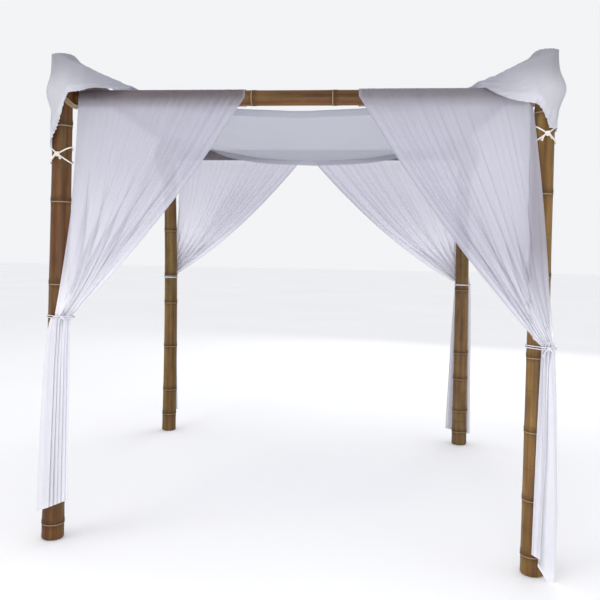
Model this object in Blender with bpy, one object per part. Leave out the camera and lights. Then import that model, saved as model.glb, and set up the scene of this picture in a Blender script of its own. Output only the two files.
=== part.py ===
"""Bamboo chuppah canopy: four leaning poles, four lashed beams, a draped roof cloth and four swept curtains.

Metres, +Z up, the front of the canopy towards -Y, the origin on the floor under its middle.
The frame is laid out on a nominal square, whose corners are then moved to where each pole really stands.
"""

import math

import bmesh
import bpy
import numpy as np
from mathutils import Vector

# The frame
HALF_SPACING = 1.2
BEAM_HEIGHT = 2.32
BEAM_RISE_PER_METRE = 0.0104
POLE_ABOVE_BEAM = 0.195
POLE_TOP_RADIUS = 0.0475
POLE_FOOT_RADIUS = 0.0585
POLE_TAPER = 0.7
STOUT_POLE = "back_right"
STOUT = 1.03
BEAM_RADIUS = 0.0385
BEAM_RUN_ON = {"left": 0.066, "right": 0.082}
SIDE_BEAM_RUN_ON = 0.060
FIRST_BEAM_NODE = 0.20
CLEARANCE = 0.0004

# The culms
CULM_SIDES = 14
RIDGE = 1.05
RIDGE_HALF_HEIGHT = 0.014
FOOT_CHAMFER = 0.010
WALL_SHARE = 0.78
RECESS_DEPTH = 0.05

# Where each pole stands: its axis at beam height, how far its foot stands from below that, and its nodes
POLES = {
    "front_left": {
        "at": (-1.18, -1.19), "foot": (-0.085, 0.06),
        "nodes": (0.09, 0.33, 0.64, 0.98, 1.36, 1.78, 2.16),
    },
    "front_right": {
        "at": (1.205, -1.205), "foot": (0.0, -0.11),
        "nodes": (0.10, 0.37, 0.70, 1.06, 1.45, 1.85, 2.24),
    },
    "back_left": {
        "at": (-1.21, 1.2), "foot": (-0.01, 0.085),
        "nodes": (0.15, 0.36, 0.73, 1.10, 1.33, 1.70, 2.08),
    },
    "back_right": {
        "at": (1.19, 1.2), "foot": (0.03, -0.06),
        "nodes": (0.11, 0.28, 0.54, 0.75, 1.26, 1.66, 2.07),
    },
}
BEAM_POLES = {
    "front": ("front_left", "front_right"),
    "back": ("back_left", "back_right"),
    "left": ("front_left", "back_left"),
    "right": ("front_right", "back_right"),
}
BEAM_NODE_SPACING = {"front": 0.41, "back": 0.38, "left": 0.44, "right": 0.36}

# The lashings: hoops of rope turns, a band wide
LASHING_THICKNESS = 0.009
LASHING_WIDTH = 0.024
LASHING_STEPS = 10

# The cloth, and its sleeve over a beam that the side beams then lie on
CLOTH = 0.005
SLEEVE_STEPS = 6
SLEEVE_STEP_DEG = 27.5
SLEEVE_RADIUS = (BEAM_RADIUS * RIDGE + CLEARANCE) / math.cos(math.radians(SLEEVE_STEP_DEG / 2))
SIDE_BEAM_ABOVE = SLEEVE_RADIUS + CLOTH + BEAM_RADIUS + CLEARANCE

# The roof cloth: its height over the beams' centre line against the distance from the pole
EAR_DISTANCE = (0.0, 0.05, 0.09, 0.15, 0.20, 0.25, 0.34, 0.43, 0.60, 0.90, 1.20, 1.70)
EAR_RISE = (0.1965, 0.1965, 0.160, 0.127, 0.104, 0.087, 0.061, 0.038, 0.0, -0.030, -0.052, -0.070)
# A side beam carries it: lifted by this at the most, not above that height, and from this far inside the beam
SIDE_LIFT = 0.098
SIDE_CARRY = 0.132
SIDE_LIFT_WIDTH = 0.12
SIDE_LIFT_SHIFT = 0.14
SIDE_LIFT_SHIFT_FROM = (0.95, 1.04)
HEM_DROP = 0.038
LEAST_HEM = 0.006
# The edge from its middle to a corner: across the beam and along it where the fall begins, the same for its
# hem, the hem's height over the beams, and how far the beams' ends push the fall out. None is a free hem.
SIDE_EDGE = (
    (1.052, 0.0, 1.052, 0.0, None, 0.0),
    (1.052, 0.28, 1.052, 0.28, None, 0.0),
    (1.052, 0.54, 1.052, 0.54, None, 0.0),
    (1.052, 0.74, 1.052, 0.74, None, 0.0),
    (1.057, 0.82, 1.060, 0.82, 0.115, 0.0),
    (1.095, 0.89, 1.098, 0.89, 0.145, 0.0),
    (1.145, 0.94, 1.152, 0.935, 0.135, 0.0),
    (1.175, 0.985, 1.190, 0.97, 0.085, 0.0),
    (1.215, 1.05, 1.250, 1.03, 0.045, 0.006),
    (1.244, 1.110, 1.284, 1.09, -0.06, 0.012),
    (1.248, 1.140, 1.272, 1.13, -0.14, 0.026),
    (1.250, 1.170, 1.258, 1.170, -0.20, 0.034),
)
FRONT_EDGE = (
    (1.052, 0.0, 1.052, 0.0, None, 0.0),
    (1.052, 0.28, 1.052, 0.28, None, 0.0),
    (1.052, 0.54, 1.052, 0.54, None, 0.0),
    (1.052, 0.74, 1.052, 0.74, None, 0.0),
    (1.057, 0.82, 1.057, 0.82, 0.028, 0.0),
    (1.100, 0.88, 1.100, 0.88, 0.052, 0.0),
    (1.125, 0.905, 1.127, 0.903, 0.050, 0.0),
    (1.145, 0.93, 1.150, 0.925, 0.041, 0.0),
    (1.185, 0.985, 1.195, 0.970, 0.034, 0.0),
    (1.230, 1.040, 1.250, 1.030, 0.026, 0.0),
    (1.264, 1.080, 1.284, 1.085, 0.006, 0.0),
    (1.268, 1.125, 1.290, 1.135, -0.003, 0.0),
    (1.270, 1.175, 1.272, 1.188, -0.128, 0.014),
    (1.268, 1.200, 1.266, 1.208, -0.178, 0.020),
    (1.250, 1.236, 1.248, 1.240, -0.235, 0.022),
)
CORNER_TIP = (1.252, 1.212, 1.245, 1.230, 0.030)
TIP_ABOVE_TIE = 0.012
ABOVE_TIP = 0.012
MORE_SWELL = {"left": 0.0, "right": 0.014}
# The front hem hangs lower at one corner, by this and along these stretches
LOW_HEM = {"front_right": 0.066}
LOW_HEM_FROM = (0.905, 1.03)
LOW_HEM_TO = (1.135, 1.20)
FROM_RIM = (1.0, 0.6, 0.32, 0.20, 0.145, 0.09, 0.04, 0.0)
FALL_SHARES = (0.18, 0.32, 0.44, 0.57, 0.75, 1.0)
FALL_OUT_BY = 0.62
SWELL_AT = 0.01
SWELL_HEIGHT = 0.075

# The curtains: from where to where each covers its beam, and where it is gathered, hangs and ends
CURTAINS = {
    "front_left": {
        "outer": -1.117, "inner": -0.262, "gather": (-1.207, -1.112), "tie": 1.19,
        "tail": (-1.300, -1.134), "hem": (0.17, 0.25), "sag": 0.14, "slack": 0.05, "tail_power": 0.38,
    },
    "front_right": {
        "outer": 1.136, "inner": 0.307, "gather": (1.265, 1.195), "tie": 1.11,
        "tail": (1.300, 1.172), "hem": (0.03, 0.13), "sag": 0.13, "slack": 0.0, "tail_power": 0.8,
    },
    "back_left": {
        "outer": -1.13, "inner": -0.09, "gather": (-1.268, -1.190), "tie": 1.31,
        "tail": (-1.270, -1.165), "hem": (0.14, 0.16), "sag": 0.17, "slack": 0.09, "tail_power": 0.6,
    },
    "back_right": {
        "outer": 1.12, "inner": -0.055, "gather": (1.285, 1.168), "tie": 1.30,
        "tail": (1.325, 1.120), "hem": (0.06, 0.10), "sag": 0.18, "slack": 0.04, "tail_power": 0.6,
    },
}
COLUMNS = 11
SWEEP = (0.1, 0.22, 0.36, 0.5, 0.64, 0.76, 0.86, 0.94, 1.0)
SWEEP_INWARD = 0.8
GATHERED_DEPTH = 0.040
GATHERING = 5
NECK = 0.009
TAIL_SHARES = (0.0, 0.05, 0.14, 0.3, 0.5, 0.74, 1.0)
CLEAR_AT_TIE = 0.001
CLEAR_AT_TAIL = 0.006
CLEAR_AT_SWEEP = 0.012

# The ties: a cord loop with a knot and two short ends
CORD_RADIUS = 0.004
CORD_SIDES = 6
KNOT_RADIUS = 0.0088
KNOT_OUT = 0.0064
TIE_END_RADIUS = 0.0032
TIE_END_SWAYS = (-0.012, 0.014)
TIE_END_STEPS = ((1.0, 0.006, -0.022), (1.5, 0.007, -0.055))
TIE_HEIGHT = {"front_left": 2.01, "front_right": 2.13, "back_left": 2.04, "back_right": 2.11}
CORNER_TIE_SLACK = 0.0012
CORNER_TIE_STEPS = 20
CURTAIN_TIE_STEPS = 24

# Finishes: colour and roughness
BAMBOO_POLE = ((0.21, 0.125, 0.05), 0.45)
BAMBOO_BEAM = ((0.23, 0.13, 0.05), 0.45)
ROPE = ((0.34, 0.25, 0.14), 0.9)
SHEER = ((0.80, 0.79, 0.86), 0.85)
CORD = ((0.86, 0.84, 0.80), 0.8)
SMOOTH_ANGLE_DEG = 40


def clear_scene():
    for old in list(bpy.data.objects):
        bpy.data.objects.remove(old, do_unlink=True)


def material(name, finish):
    colour, roughness = finish
    made = bpy.data.materials.new(name)
    made.use_nodes = True
    shader = made.node_tree.nodes["Principled BSDF"]
    shader.inputs["Base Color"].default_value = (*colour, 1.0)
    shader.inputs["Roughness"].default_value = roughness
    shader.inputs["Metallic"].default_value = 0.0
    return made


def object_of(name, bm, finish, hidden=False):
    """A smooth-shaded mesh object with its own material; a hidden one is a cutter or a piece to be joined."""
    bmesh.ops.recalc_face_normals(bm, faces=bm.faces)
    mesh = bpy.data.meshes.new(name)
    bm.to_mesh(mesh)
    bm.free()
    mesh.shade_smooth()
    mesh.set_sharp_from_angle(angle=math.radians(SMOOTH_ANGLE_DEG))
    mesh.materials.append(material(name, finish))
    made = bpy.data.objects.new(name, mesh)
    bpy.context.scene.collection.objects.link(made)
    if hidden:
        made.hide_render = True
        made.display_type = "WIRE"
    return made


def boolean(target, other, operation):
    modifier = target.modifiers.new(f"{operation} {other.name}", "BOOLEAN")
    modifier.operation = operation
    modifier.object = other


def loft(rings, closed=False):
    """A bmesh through rings of points; open ends get a face, and a closed loft joins last to first."""
    bm = bmesh.new()
    loops = [[bm.verts.new(point) for point in ring] for ring in rings]
    pairs = list(zip(loops, loops[1:]))
    if closed:
        pairs.append((loops[-1], loops[0]))
    for lower, upper in pairs:
        for i in range(len(lower)):
            j = (i + 1) % len(lower)
            bm.faces.new((lower[i], lower[j], upper[j], upper[i]))
    if not closed:
        bm.faces.new(loops[0])
        bm.faces.new(loops[-1])
    return bm


# Layout

def beam_centre_height(x):
    """The beams climb a little from the left to the right of the canopy."""
    return BEAM_HEIGHT + BEAM_RISE_PER_METRE * x


def placed(x, y, rise):
    """The real place of a nominal one, with its height counted from the beams' centre line."""
    u = (x / HALF_SPACING + 1) / 2
    v = (y / HALF_SPACING + 1) / 2
    weights = {
        "front_left": (1 - u) * (1 - v),
        "front_right": u * (1 - v),
        "back_left": (1 - u) * v,
        "back_right": u * v,
    }
    real_x = sum(weight * POLES[name]["at"][0] for name, weight in weights.items())
    real_y = sum(weight * POLES[name]["at"][1] for name, weight in weights.items())
    return Vector((real_x, real_y, beam_centre_height(real_x) + rise))


def corner_signs(corner):
    return (-1 if "left" in corner else 1), (-1 if "front" in corner else 1)


def beams_at(corner):
    """The names of the front or back beam and of the side beam that meet at a corner."""
    depth, side = corner.split("_")
    return depth, side


def pole_centre(corner, z):
    """The pole's axis at a height: a straight line from its foot through its place at beam height."""
    at_x, at_y = POLES[corner]["at"]
    foot_x, foot_y = POLES[corner]["foot"]
    share = 1 - z / beam_centre_height(at_x)
    return Vector((at_x + foot_x * share, at_y + foot_y * share, z))


def pole_radius(corner, z):
    """The culm swells towards its butt, and one pole is stouter than the rest."""
    share = min(max(z / (BEAM_HEIGHT + POLE_ABOVE_BEAM), 0), 1)
    stout = STOUT if corner == STOUT_POLE else 1.0
    return stout * (POLE_FOOT_RADIUS + (POLE_TOP_RADIUS - POLE_FOOT_RADIUS) * share ** POLE_TAPER)


def crossing(corner, crosswise):
    """Where a beam's axis passes a pole: against its inner face, the side beams a step higher."""
    sign_x, sign_y = corner_signs(corner)
    z = beam_centre_height(POLES[corner]["at"][0]) + (0 if crosswise else SIDE_BEAM_ABOVE)
    inward = Vector((0, -sign_y, 0)) if crosswise else Vector((-sign_x, 0, 0))
    return pole_centre(corner, z) + inward * (pole_radius(corner, z) + BEAM_RADIUS + CLEARANCE)


def beam_ends(side):
    """The two ends of a beam's axis, each run on past its pole."""
    crosswise = side in ("front", "back")
    start, end = (crossing(corner, crosswise) for corner in BEAM_POLES[side])
    along = (end - start).normalized()
    if crosswise:
        return start - along * BEAM_RUN_ON["left"], end + along * BEAM_RUN_ON["right"]
    return start - along * SIDE_BEAM_RUN_ON, end + along * SIDE_BEAM_RUN_ON


# Bamboo

def ring(centre, radius, across, up, sides=CULM_SIDES):
    turns = [2 * math.pi * i / sides for i in range(sides)]
    return [centre + radius * (math.cos(a) * across + math.sin(a) * up) for a in turns]


def node_levels(node, radius):
    """A culm's ridge at a node: three rings, the middle one proud."""
    return [(node - RIDGE_HALF_HEIGHT, radius), (node, radius * RIDGE), (node + RIDGE_HALF_HEIGHT, radius)]


def pole_mesh(corner, grow=0.0):
    """Level rings up a leaning axis, a ridge at each node, a flat foot and a recess in the cut top."""
    top = beam_centre_height(POLES[corner]["at"][0]) + POLE_ABOVE_BEAM
    levels = [(0.0, pole_radius(corner, 0) - FOOT_CHAMFER), (FOOT_CHAMFER, pole_radius(corner, 0))]
    for node in POLES[corner]["nodes"]:
        levels += node_levels(node, pole_radius(corner, node))
    levels.append((top + grow, POLE_TOP_RADIUS))
    across, up = Vector((1, 0, 0)), Vector((0, 1, 0))
    rings = [ring(pole_centre(corner, z), radius + grow, across, up) for z, radius in levels]
    if not grow:
        inner = POLE_TOP_RADIUS * WALL_SHARE
        rings.append(ring(pole_centre(corner, top), inner, across, up))
        rings.append(ring(pole_centre(corner, top - RECESS_DEPTH), inner, across, up))
    return loft(rings)


def beam_mesh(side, grow=0.0):
    """Rings square to the axis, with a ridge at each node and an open recess at both cut ends."""
    start, end = beam_ends(side)
    length = (end - start).length
    along = (end - start).normalized()
    across = along.cross(Vector((0, 0, 1))).normalized()
    up = across.cross(along)
    levels = [(-grow, BEAM_RADIUS)]
    node = FIRST_BEAM_NODE
    while node < length - FIRST_BEAM_NODE:
        levels += node_levels(node, BEAM_RADIUS)
        node += BEAM_NODE_SPACING[side]
    levels.append((length + grow, BEAM_RADIUS))
    rings = [ring(start + along * s, radius + grow, across, up) for s, radius in levels]
    if not grow:
        inner = BEAM_RADIUS * WALL_SHARE
        first = [ring(start + along * s, inner, across, up) for s in (RECESS_DEPTH, 0)]
        last = [ring(start + along * s, inner, across, up) for s in (length, length - RECESS_DEPTH)]
        rings = first + rings + last
    return loft(rings)


def make_cutters():
    """Each culm a hair larger than it is, for what is pressed against it."""
    for corner in POLES:
        object_of(f"cut_pole_{corner}", pole_mesh(corner, CLEARANCE), BAMBOO_POLE, hidden=True)
    for side in BEAM_POLES:
        object_of(f"cut_beam_{side}", beam_mesh(side, CLEARANCE), BAMBOO_BEAM, hidden=True)


# Lashings

def band_mesh(pole_at, beam_at, diagonal):
    """A flat hoop of rope turns, slantwise round a pole and a beam that touches it."""
    apart = beam_at - pole_at
    apart = (apart - apart.project(diagonal)).normalized()
    width = apart.cross(diagonal).normalized() * LASHING_WIDTH / 2
    slant = math.sqrt(2)
    outline = []
    for centre, radius, side in ((beam_at, BEAM_RADIUS, 1), (pole_at, POLE_TOP_RADIUS, -1)):
        for i in range(LASHING_STEPS + 1):
            a = math.pi * i / LASHING_STEPS
            outward = apart * math.sin(a) * (radius + LASHING_THICKNESS)
            slanting = diagonal * math.cos(a) * (radius * slant + LASHING_THICKNESS)
            outline.append(centre + side * (outward + slanting))
    return loft([[p - width for p in outline], [p + width for p in outline]])


def make_lashing(corner):
    """Slanting turns round pole and cross beam, and more round pole and side beam, cut to fit all three."""
    sign_x, sign_y = corner_signs(corner)
    on_cross, on_side = crossing(corner, True), crossing(corner, False)
    cross_band = band_mesh(pole_centre(corner, on_cross.z), on_cross, Vector((sign_x, 0, 1)).normalized())
    side_band = band_mesh(pole_centre(corner, on_side.z), on_side, Vector((0, sign_y, 1)).normalized())
    lashing = object_of(f"lashing_{corner}", cross_band, ROPE)
    boolean(lashing, object_of(f"side_band_{corner}", side_band, ROPE, hidden=True), "UNION")
    cutters = [f"cut_pole_{corner}"] + [f"cut_beam_{side}" for side in beams_at(corner)]
    for cutter in cutters:
        boolean(lashing, bpy.data.objects[cutter], "DIFFERENCE")


# The roof cloth

def eased(value, low, high):
    """From 0 at the low value to 1 at the high one, slow at both ends."""
    share = min(max((value - low) / (high - low), 0), 1)
    return share * share * (3 - 2 * share)


def roof_rise(p, q):
    """The cloth's height over the beams: highest over the pole, lifted over a side beam, low in the middle."""
    distance = math.hypot(HALF_SPACING - p, HALF_SPACING - q)
    rise = float(np.interp(distance, EAR_DISTANCE, EAR_RISE))
    shift = SIDE_LIFT_SHIFT * eased(p, *SIDE_LIFT_SHIFT_FROM)
    aside = eased(p - q + shift, 0, SIDE_LIFT_WIDTH)
    return rise + aside * min(max(SIDE_CARRY - rise, 0), SIDE_LIFT * (p / HALF_SPACING) ** 2)


def spoke(corner, rim, hem, hem_rise, swell):
    """Points from near the middle of the cloth out to its rim, and down its fall to the hem."""
    signs = Vector(corner_signs(corner))
    top = roof_rise(*rim)
    places = []
    for back in FROM_RIM:
        at = rim * (1 - back / rim.length)
        places.append((at, roof_rise(*at)))
    out = (hem - Vector((HALF_SPACING, HALF_SPACING))).normalized()
    for share in FALL_SHARES:
        rise = top + (hem_rise - top) * share
        pushed = swell * math.exp(-(((rise - SWELL_AT) / SWELL_HEIGHT) ** 2))
        places.append((rim + (hem - rim) * eased(share, 0, FALL_OUT_BY) + out * pushed, rise))
    return [placed(at.x * signs.x, at.y * signs.y, rise) for at, rise in places]


def tip_rise(corner):
    """The height over the beams at which the cloth's corner ends, a little above its tie."""
    return TIE_HEIGHT[corner] + TIP_ABOVE_TIE - beam_centre_height(POLES[corner]["at"][0])


def edge_spokes(corner, edge, crosswise):
    """The spokes of half an edge, from its middle towards a corner."""
    spokes = []
    for across, along, hem_across, hem_along, hem_rise, swell in edge:
        rim, hem = Vector((across, along)), Vector((hem_across, hem_along))
        if crosswise:
            rim, hem = rim.yx, hem.yx
        top = roof_rise(*rim)
        rise = top - HEM_DROP if hem_rise is None else min(hem_rise, top - LEAST_HEM)
        if crosswise:
            rise -= LOW_HEM.get(corner, 0) * eased(hem.x, *LOW_HEM_FROM) * (1 - eased(hem.x, *LOW_HEM_TO))
        if swell:
            swell += MORE_SWELL[beams_at(corner)[1]]
        spokes.append(spoke(corner, rim, hem, max(rise, tip_rise(corner) + ABOVE_TIP), swell))
    return spokes


def tip_spoke(corner):
    """The spoke to the cloth's corner, which hangs down to its tie."""
    p, q, hem_p, hem_q, swell = CORNER_TIP
    more = MORE_SWELL[beams_at(corner)[1]]
    return spoke(corner, Vector((p, q)), Vector((hem_p, hem_q)), tip_rise(corner), swell + more)


def roof_spokes():
    """The spokes in order round the cloth, from the middle of the right edge by way of the back."""
    spokes = []
    for corner in ("back_right", "back_left", "front_left", "front_right"):
        side, front = edge_spokes(corner, SIDE_EDGE, False), edge_spokes(corner, FRONT_EDGE, True)
        first, last = (side, front) if corner in ("back_right", "front_left") else (front, side)
        spokes += first + [tip_spoke(corner)] + last[:0:-1]
    return spokes


def make_roof():
    """Spokes joined round the middle into one sheet, its thickness on its upper side, trimmed to the poles."""
    bm = bmesh.new()
    middle = bm.verts.new(placed(0, 0, roof_rise(0, 0)))
    loops = [[bm.verts.new(point) for point in points] for points in roof_spokes()]
    for here, there in zip(loops, loops[1:] + loops[:1]):
        bm.faces.new((middle, here[0], there[0]))
        for i in range(len(here) - 1):
            bm.faces.new((here[i], here[i + 1], there[i + 1], there[i]))
    roof = object_of("roof_cloth", bm, SHEER)
    solidify = roof.modifiers.new("Thickness", "SOLIDIFY")
    solidify.thickness = CLOTH
    solidify.offset = 1.0
    for corner in POLES:
        boolean(roof, bpy.data.objects[f"cut_pole_{corner}"], "DIFFERENCE")


# Curtains. A row is its points across the cloth, the way that its face points there, and its thickness

def column_shares():
    """From 0 at the outer edge to 1 at the inner one."""
    return [i / (COLUMNS - 1) for i in range(COLUMNS)]


def bundle_line(corner, z, depth, clear):
    """The distance from the middle plane at which a gathered curtain lies outside its pole."""
    _, outward = corner_signs(corner)
    return pole_centre(corner, z).y + outward * (pole_radius(corner, z) * RIDGE + clear + depth / 2)


def outside_pole(corner, point, depth):
    """Moves a point of a curtain out to the pole's round face where it would pass through the pole."""
    _, outward = corner_signs(corner)
    centre = pole_centre(corner, point.z)
    reach = pole_radius(corner, point.z) * RIDGE + CLEAR_AT_SWEEP
    aside = abs(point.x - centre.x)
    if aside < reach:
        face = centre.y + outward * (math.sqrt(reach * reach - aside * aside) + depth / 2)
        if outward * (face - point.y) > 0:
            point.y = face


def sleeve_rows(corner):
    """Rows over the beam, from its inner side over its top to its outer side."""
    sizes = CURTAINS[corner]
    _, outward = corner_signs(corner)
    start, end = beam_ends(beams_at(corner)[0])
    rows = []
    for step in range(SLEEVE_STEPS, -1, -1):
        angle = math.radians(step * SLEEVE_STEP_DEG)
        lift = Vector((0, outward * math.cos(angle), math.sin(angle)))
        points = []
        for u in column_shares():
            x = sizes["outer"] + (sizes["inner"] - sizes["outer"]) * u
            axis = start.lerp(end, (x - start.x) / (end.x - start.x))
            points.append(axis + lift * (SLEEVE_RADIUS + CLOTH / 2))
        rows.append((points, lift, CLOTH))
    return rows


def gather_points(corner):
    """The gathered cloth just above its tie."""
    sizes = CURTAINS[corner]
    outer, inner = sizes["gather"]
    y = bundle_line(corner, sizes["tie"], GATHERED_DEPTH, CLEAR_AT_TIE)
    return [Vector((outer + (inner - outer) * u, y, sizes["tie"] + NECK)) for u in column_shares()]


def sweep_rows(corner, hung, gathers):
    """Rows down from the beam and across to the pole, each column a sagging curve."""
    sizes = CURTAINS[corner]
    sign_x, outward = corner_signs(corner)
    rows = []
    for t in SWEEP:
        thick = CLOTH + (GATHERED_DEPTH - CLOTH) * t ** GATHERING
        points = []
        for u, top, end in zip(column_shares(), hung, gathers):
            control = (top + end) / 2
            control += Vector((-sign_x * sizes["slack"] * (1 - u), 0, -sizes["sag"] * u))
            point = top * (1 - t) ** 2 + control * 2 * t * (1 - t) + end * t * t
            point.y = top.y + (end.y - top.y) * t ** SWEEP_INWARD
            if t < 1:
                outside_pole(corner, point, thick)
            points.append(point)
        rows.append((points, Vector((0, outward, 0)), thick))
    return rows


def tail_rows(corner, gathers):
    """Rows from just under the tie down to the hem, the cloth spreading as it hangs."""
    sizes = CURTAINS[corner]
    _, outward = corner_signs(corner)
    rows = []
    for t in TAIL_SHARES:
        spread = t ** sizes["tail_power"]
        points = []
        for u, end in zip(column_shares(), gathers):
            foot = sizes["hem"][0] + (sizes["hem"][1] - sizes["hem"][0]) * u
            z = (end.z - 2 * NECK) * (1 - t) + foot * t
            hanging_x = sizes["tail"][0] + (sizes["tail"][1] - sizes["tail"][0]) * u
            line = bundle_line(corner, z, GATHERED_DEPTH, CLEAR_AT_TAIL)
            y = end.y + outward * max(0, outward * (line - end.y)) * min(1, t / TAIL_SHARES[1])
            points.append(Vector((end.x + (hanging_x - end.x) * spread, y, z)))
        rows.append((points, Vector((0, outward, 0)), GATHERED_DEPTH))
    return rows


def make_curtain(corner):
    """Over the beam, down and across to the pole, through the tie, and down as a tail."""
    gathers = gather_points(corner)
    rows = sleeve_rows(corner)
    rows += sweep_rows(corner, rows[-1][0], gathers)
    rows += tail_rows(corner, gathers)
    rings = []
    for points, normal, thick in rows:
        front = [p + normal * thick / 2 for p in points]
        back = [p - normal * thick / 2 for p in points]
        rings.append(front + back[::-1])
    object_of(f"curtain_{corner}", loft(rings), SHEER)


# Ties

def turn(a, b, c):
    """Above 0 where the way from a by b to c turns left."""
    return (b[0] - a[0]) * (c[1] - a[1]) - (b[1] - a[1]) * (c[0] - a[0])


def half_hull(ordered):
    kept = []
    for p in ordered:
        while len(kept) > 1 and turn(kept[-2], kept[-1], p) <= 0:
            kept.pop()
        kept.append(p)
    return kept[:-1]


def hull_of(points):
    """The convex outline of flat points, anticlockwise."""
    ordered = sorted(points)
    return half_hull(ordered) + half_hull(ordered[::-1])


def circle(centre, radius, count):
    turns = [2 * math.pi * i / count for i in range(count)]
    return [(centre[0] + radius * math.cos(a), centre[1] + radius * math.sin(a)) for a in turns]


def tube(points, radius, closed=False):
    """A tube along points, its rings square to the path."""
    rings = []
    count = len(points)
    for i, point in enumerate(points):
        before = points[i - 1] if closed or i else points[i]
        after = points[(i + 1) % count] if closed or i < count - 1 else points[i]
        along = (after - before).normalized()
        across = along.cross(Vector((0, 0, 1)))
        across = across.normalized() if across.length > 0.05 else Vector((1, 0, 0))
        rings.append(ring(point, radius, across, across.cross(along).normalized(), CORD_SIDES))
    return loft(rings, closed)


def make_tie(name, outline, z, knot_at, outward):
    """A cord loop round an outline, with a knot and two short ends that hang from it."""
    loop = [Vector((x, y, z)) for x, y in outline]
    tie = object_of(name, tube(loop, CORD_RADIUS, closed=True), CORD)
    knot = bmesh.new()
    bmesh.ops.create_icosphere(knot, subdivisions=1, radius=KNOT_RADIUS)
    bmesh.ops.translate(knot, verts=knot.verts, vec=knot_at)
    boolean(tie, object_of(f"{name}_knot", knot, CORD, hidden=True), "UNION")
    for i, sway in enumerate(TIE_END_SWAYS):
        down = [knot_at]
        for sideways, out, fall in TIE_END_STEPS:
            down.append(knot_at + Vector((sway * sideways, outward * out, fall)))
        boolean(tie, object_of(f"{name}_end_{i}", tube(down, TIE_END_RADIUS), CORD, hidden=True), "UNION")


def make_corner_tie(corner):
    """Round the pole, just under the tip of the roof cloth's corner."""
    z = TIE_HEIGHT[corner]
    _, outward = corner_signs(corner)
    centre = pole_centre(corner, z)
    radius = pole_radius(corner, z) + CORD_RADIUS + CORNER_TIE_SLACK
    knot_at = Vector((centre.x, centre.y + outward * (radius + KNOT_OUT), z))
    make_tie(f"corner_tie_{corner}", circle(centre, radius, CORNER_TIE_STEPS), z, knot_at, outward)


def make_curtain_tie(corner):
    """Round the pole and the gathered curtain outside it."""
    sizes = CURTAINS[corner]
    z = sizes["tie"]
    _, outward = corner_signs(corner)
    away = CORD_RADIUS + CLEARANCE
    half = GATHERED_DEPTH / 2 + away
    line = bundle_line(corner, z, GATHERED_DEPTH, CLEAR_AT_TIE)
    low, high = min(sizes["gather"]) - away, max(sizes["gather"]) + away
    around = circle(pole_centre(corner, z), pole_radius(corner, z) * RIDGE + away, CURTAIN_TIE_STEPS)
    around += [(low, line - half), (low, line + half), (high, line - half), (high, line + half)]
    knot_at = Vector(((low + high) / 2, line + outward * (half + KNOT_OUT), z))
    make_tie(f"curtain_tie_{corner}", hull_of(around), z, knot_at, outward)


def main():
    clear_scene()
    for corner in POLES:
        object_of(f"pole_{corner}", pole_mesh(corner), BAMBOO_POLE)
    for side in BEAM_POLES:
        object_of(f"beam_{side}", beam_mesh(side), BAMBOO_BEAM)
    make_cutters()
    make_roof()
    for corner in POLES:
        make_lashing(corner)
        make_curtain(corner)
        make_corner_tie(corner)
        make_curtain_tie(corner)


main()
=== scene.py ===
"""The looks of a bamboo chuppah canopy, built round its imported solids.

Metres, +Z up, the front of the canopy towards -Y, the origin on the floor under its middle.
The frame is laid out on a nominal square, whose corners are then moved to where each pole really stands.
"""

from __future__ import annotations

import logging
import math
from collections.abc import Callable
from dataclasses import dataclass, field
from enum import Enum

import bmesh
import bpy
import numpy as np
from mathutils import Matrix, Vector, noise


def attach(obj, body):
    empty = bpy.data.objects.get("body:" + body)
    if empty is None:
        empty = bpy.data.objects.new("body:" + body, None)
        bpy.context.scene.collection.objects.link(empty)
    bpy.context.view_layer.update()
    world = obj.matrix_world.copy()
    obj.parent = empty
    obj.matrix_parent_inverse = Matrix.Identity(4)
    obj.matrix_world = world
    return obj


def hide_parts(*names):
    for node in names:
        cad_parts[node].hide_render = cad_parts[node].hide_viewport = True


LOG = logging.getLogger("canopy")

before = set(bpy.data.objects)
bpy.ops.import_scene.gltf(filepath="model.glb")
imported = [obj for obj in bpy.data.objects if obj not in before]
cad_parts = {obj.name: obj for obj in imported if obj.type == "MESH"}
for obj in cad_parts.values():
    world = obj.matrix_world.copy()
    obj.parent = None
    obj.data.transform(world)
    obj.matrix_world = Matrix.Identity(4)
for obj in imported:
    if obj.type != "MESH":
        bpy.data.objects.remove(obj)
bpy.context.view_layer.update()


class Corner(Enum):
    """One of the four corners, by its end and its side."""

    FRONT_LEFT = ("front", "left")
    FRONT_RIGHT = ("front", "right")
    BACK_LEFT = ("back", "left")
    BACK_RIGHT = ("back", "right")

    @property
    def label(self) -> str:
        """The corner's part of a node's name."""
        return "_".join(self.value)

    @property
    def sign_x(self) -> int:
        """-1 on the left, 1 on the right."""
        return -1 if self.value[1] == "left" else 1

    @property
    def sign_y(self) -> int:
        """-1 at the front, 1 at the back."""
        return -1 if self.value[0] == "front" else 1


class Beam(Enum):
    """One of the four beams, by its side of the canopy, with the two poles it is lashed to."""

    FRONT = ("front", Corner.FRONT_LEFT, Corner.FRONT_RIGHT)
    BACK = ("back", Corner.BACK_LEFT, Corner.BACK_RIGHT)
    LEFT = ("left", Corner.FRONT_LEFT, Corner.BACK_LEFT)
    RIGHT = ("right", Corner.FRONT_RIGHT, Corner.BACK_RIGHT)

    @property
    def label(self) -> str:
        """The beam's part of a node's name."""
        return self.value[0]

    @property
    def crosswise(self) -> bool:
        """True for the front and back beams."""
        return self in (Beam.FRONT, Beam.BACK)

    @classmethod
    def across(cls, corner: Corner) -> "Beam":
        """The front or back beam at a corner."""
        return cls.FRONT if corner.sign_y < 0 else cls.BACK


class Slot(Enum):
    """The record's material slots."""

    POLE = "bamboo_pole"
    BEAM = "bamboo_beam"
    ROPE = "rope"
    ROOF = "roof_sheer"
    CURTAIN = "curtain_sheer"
    CORD = "cord"


# Layout

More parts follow.
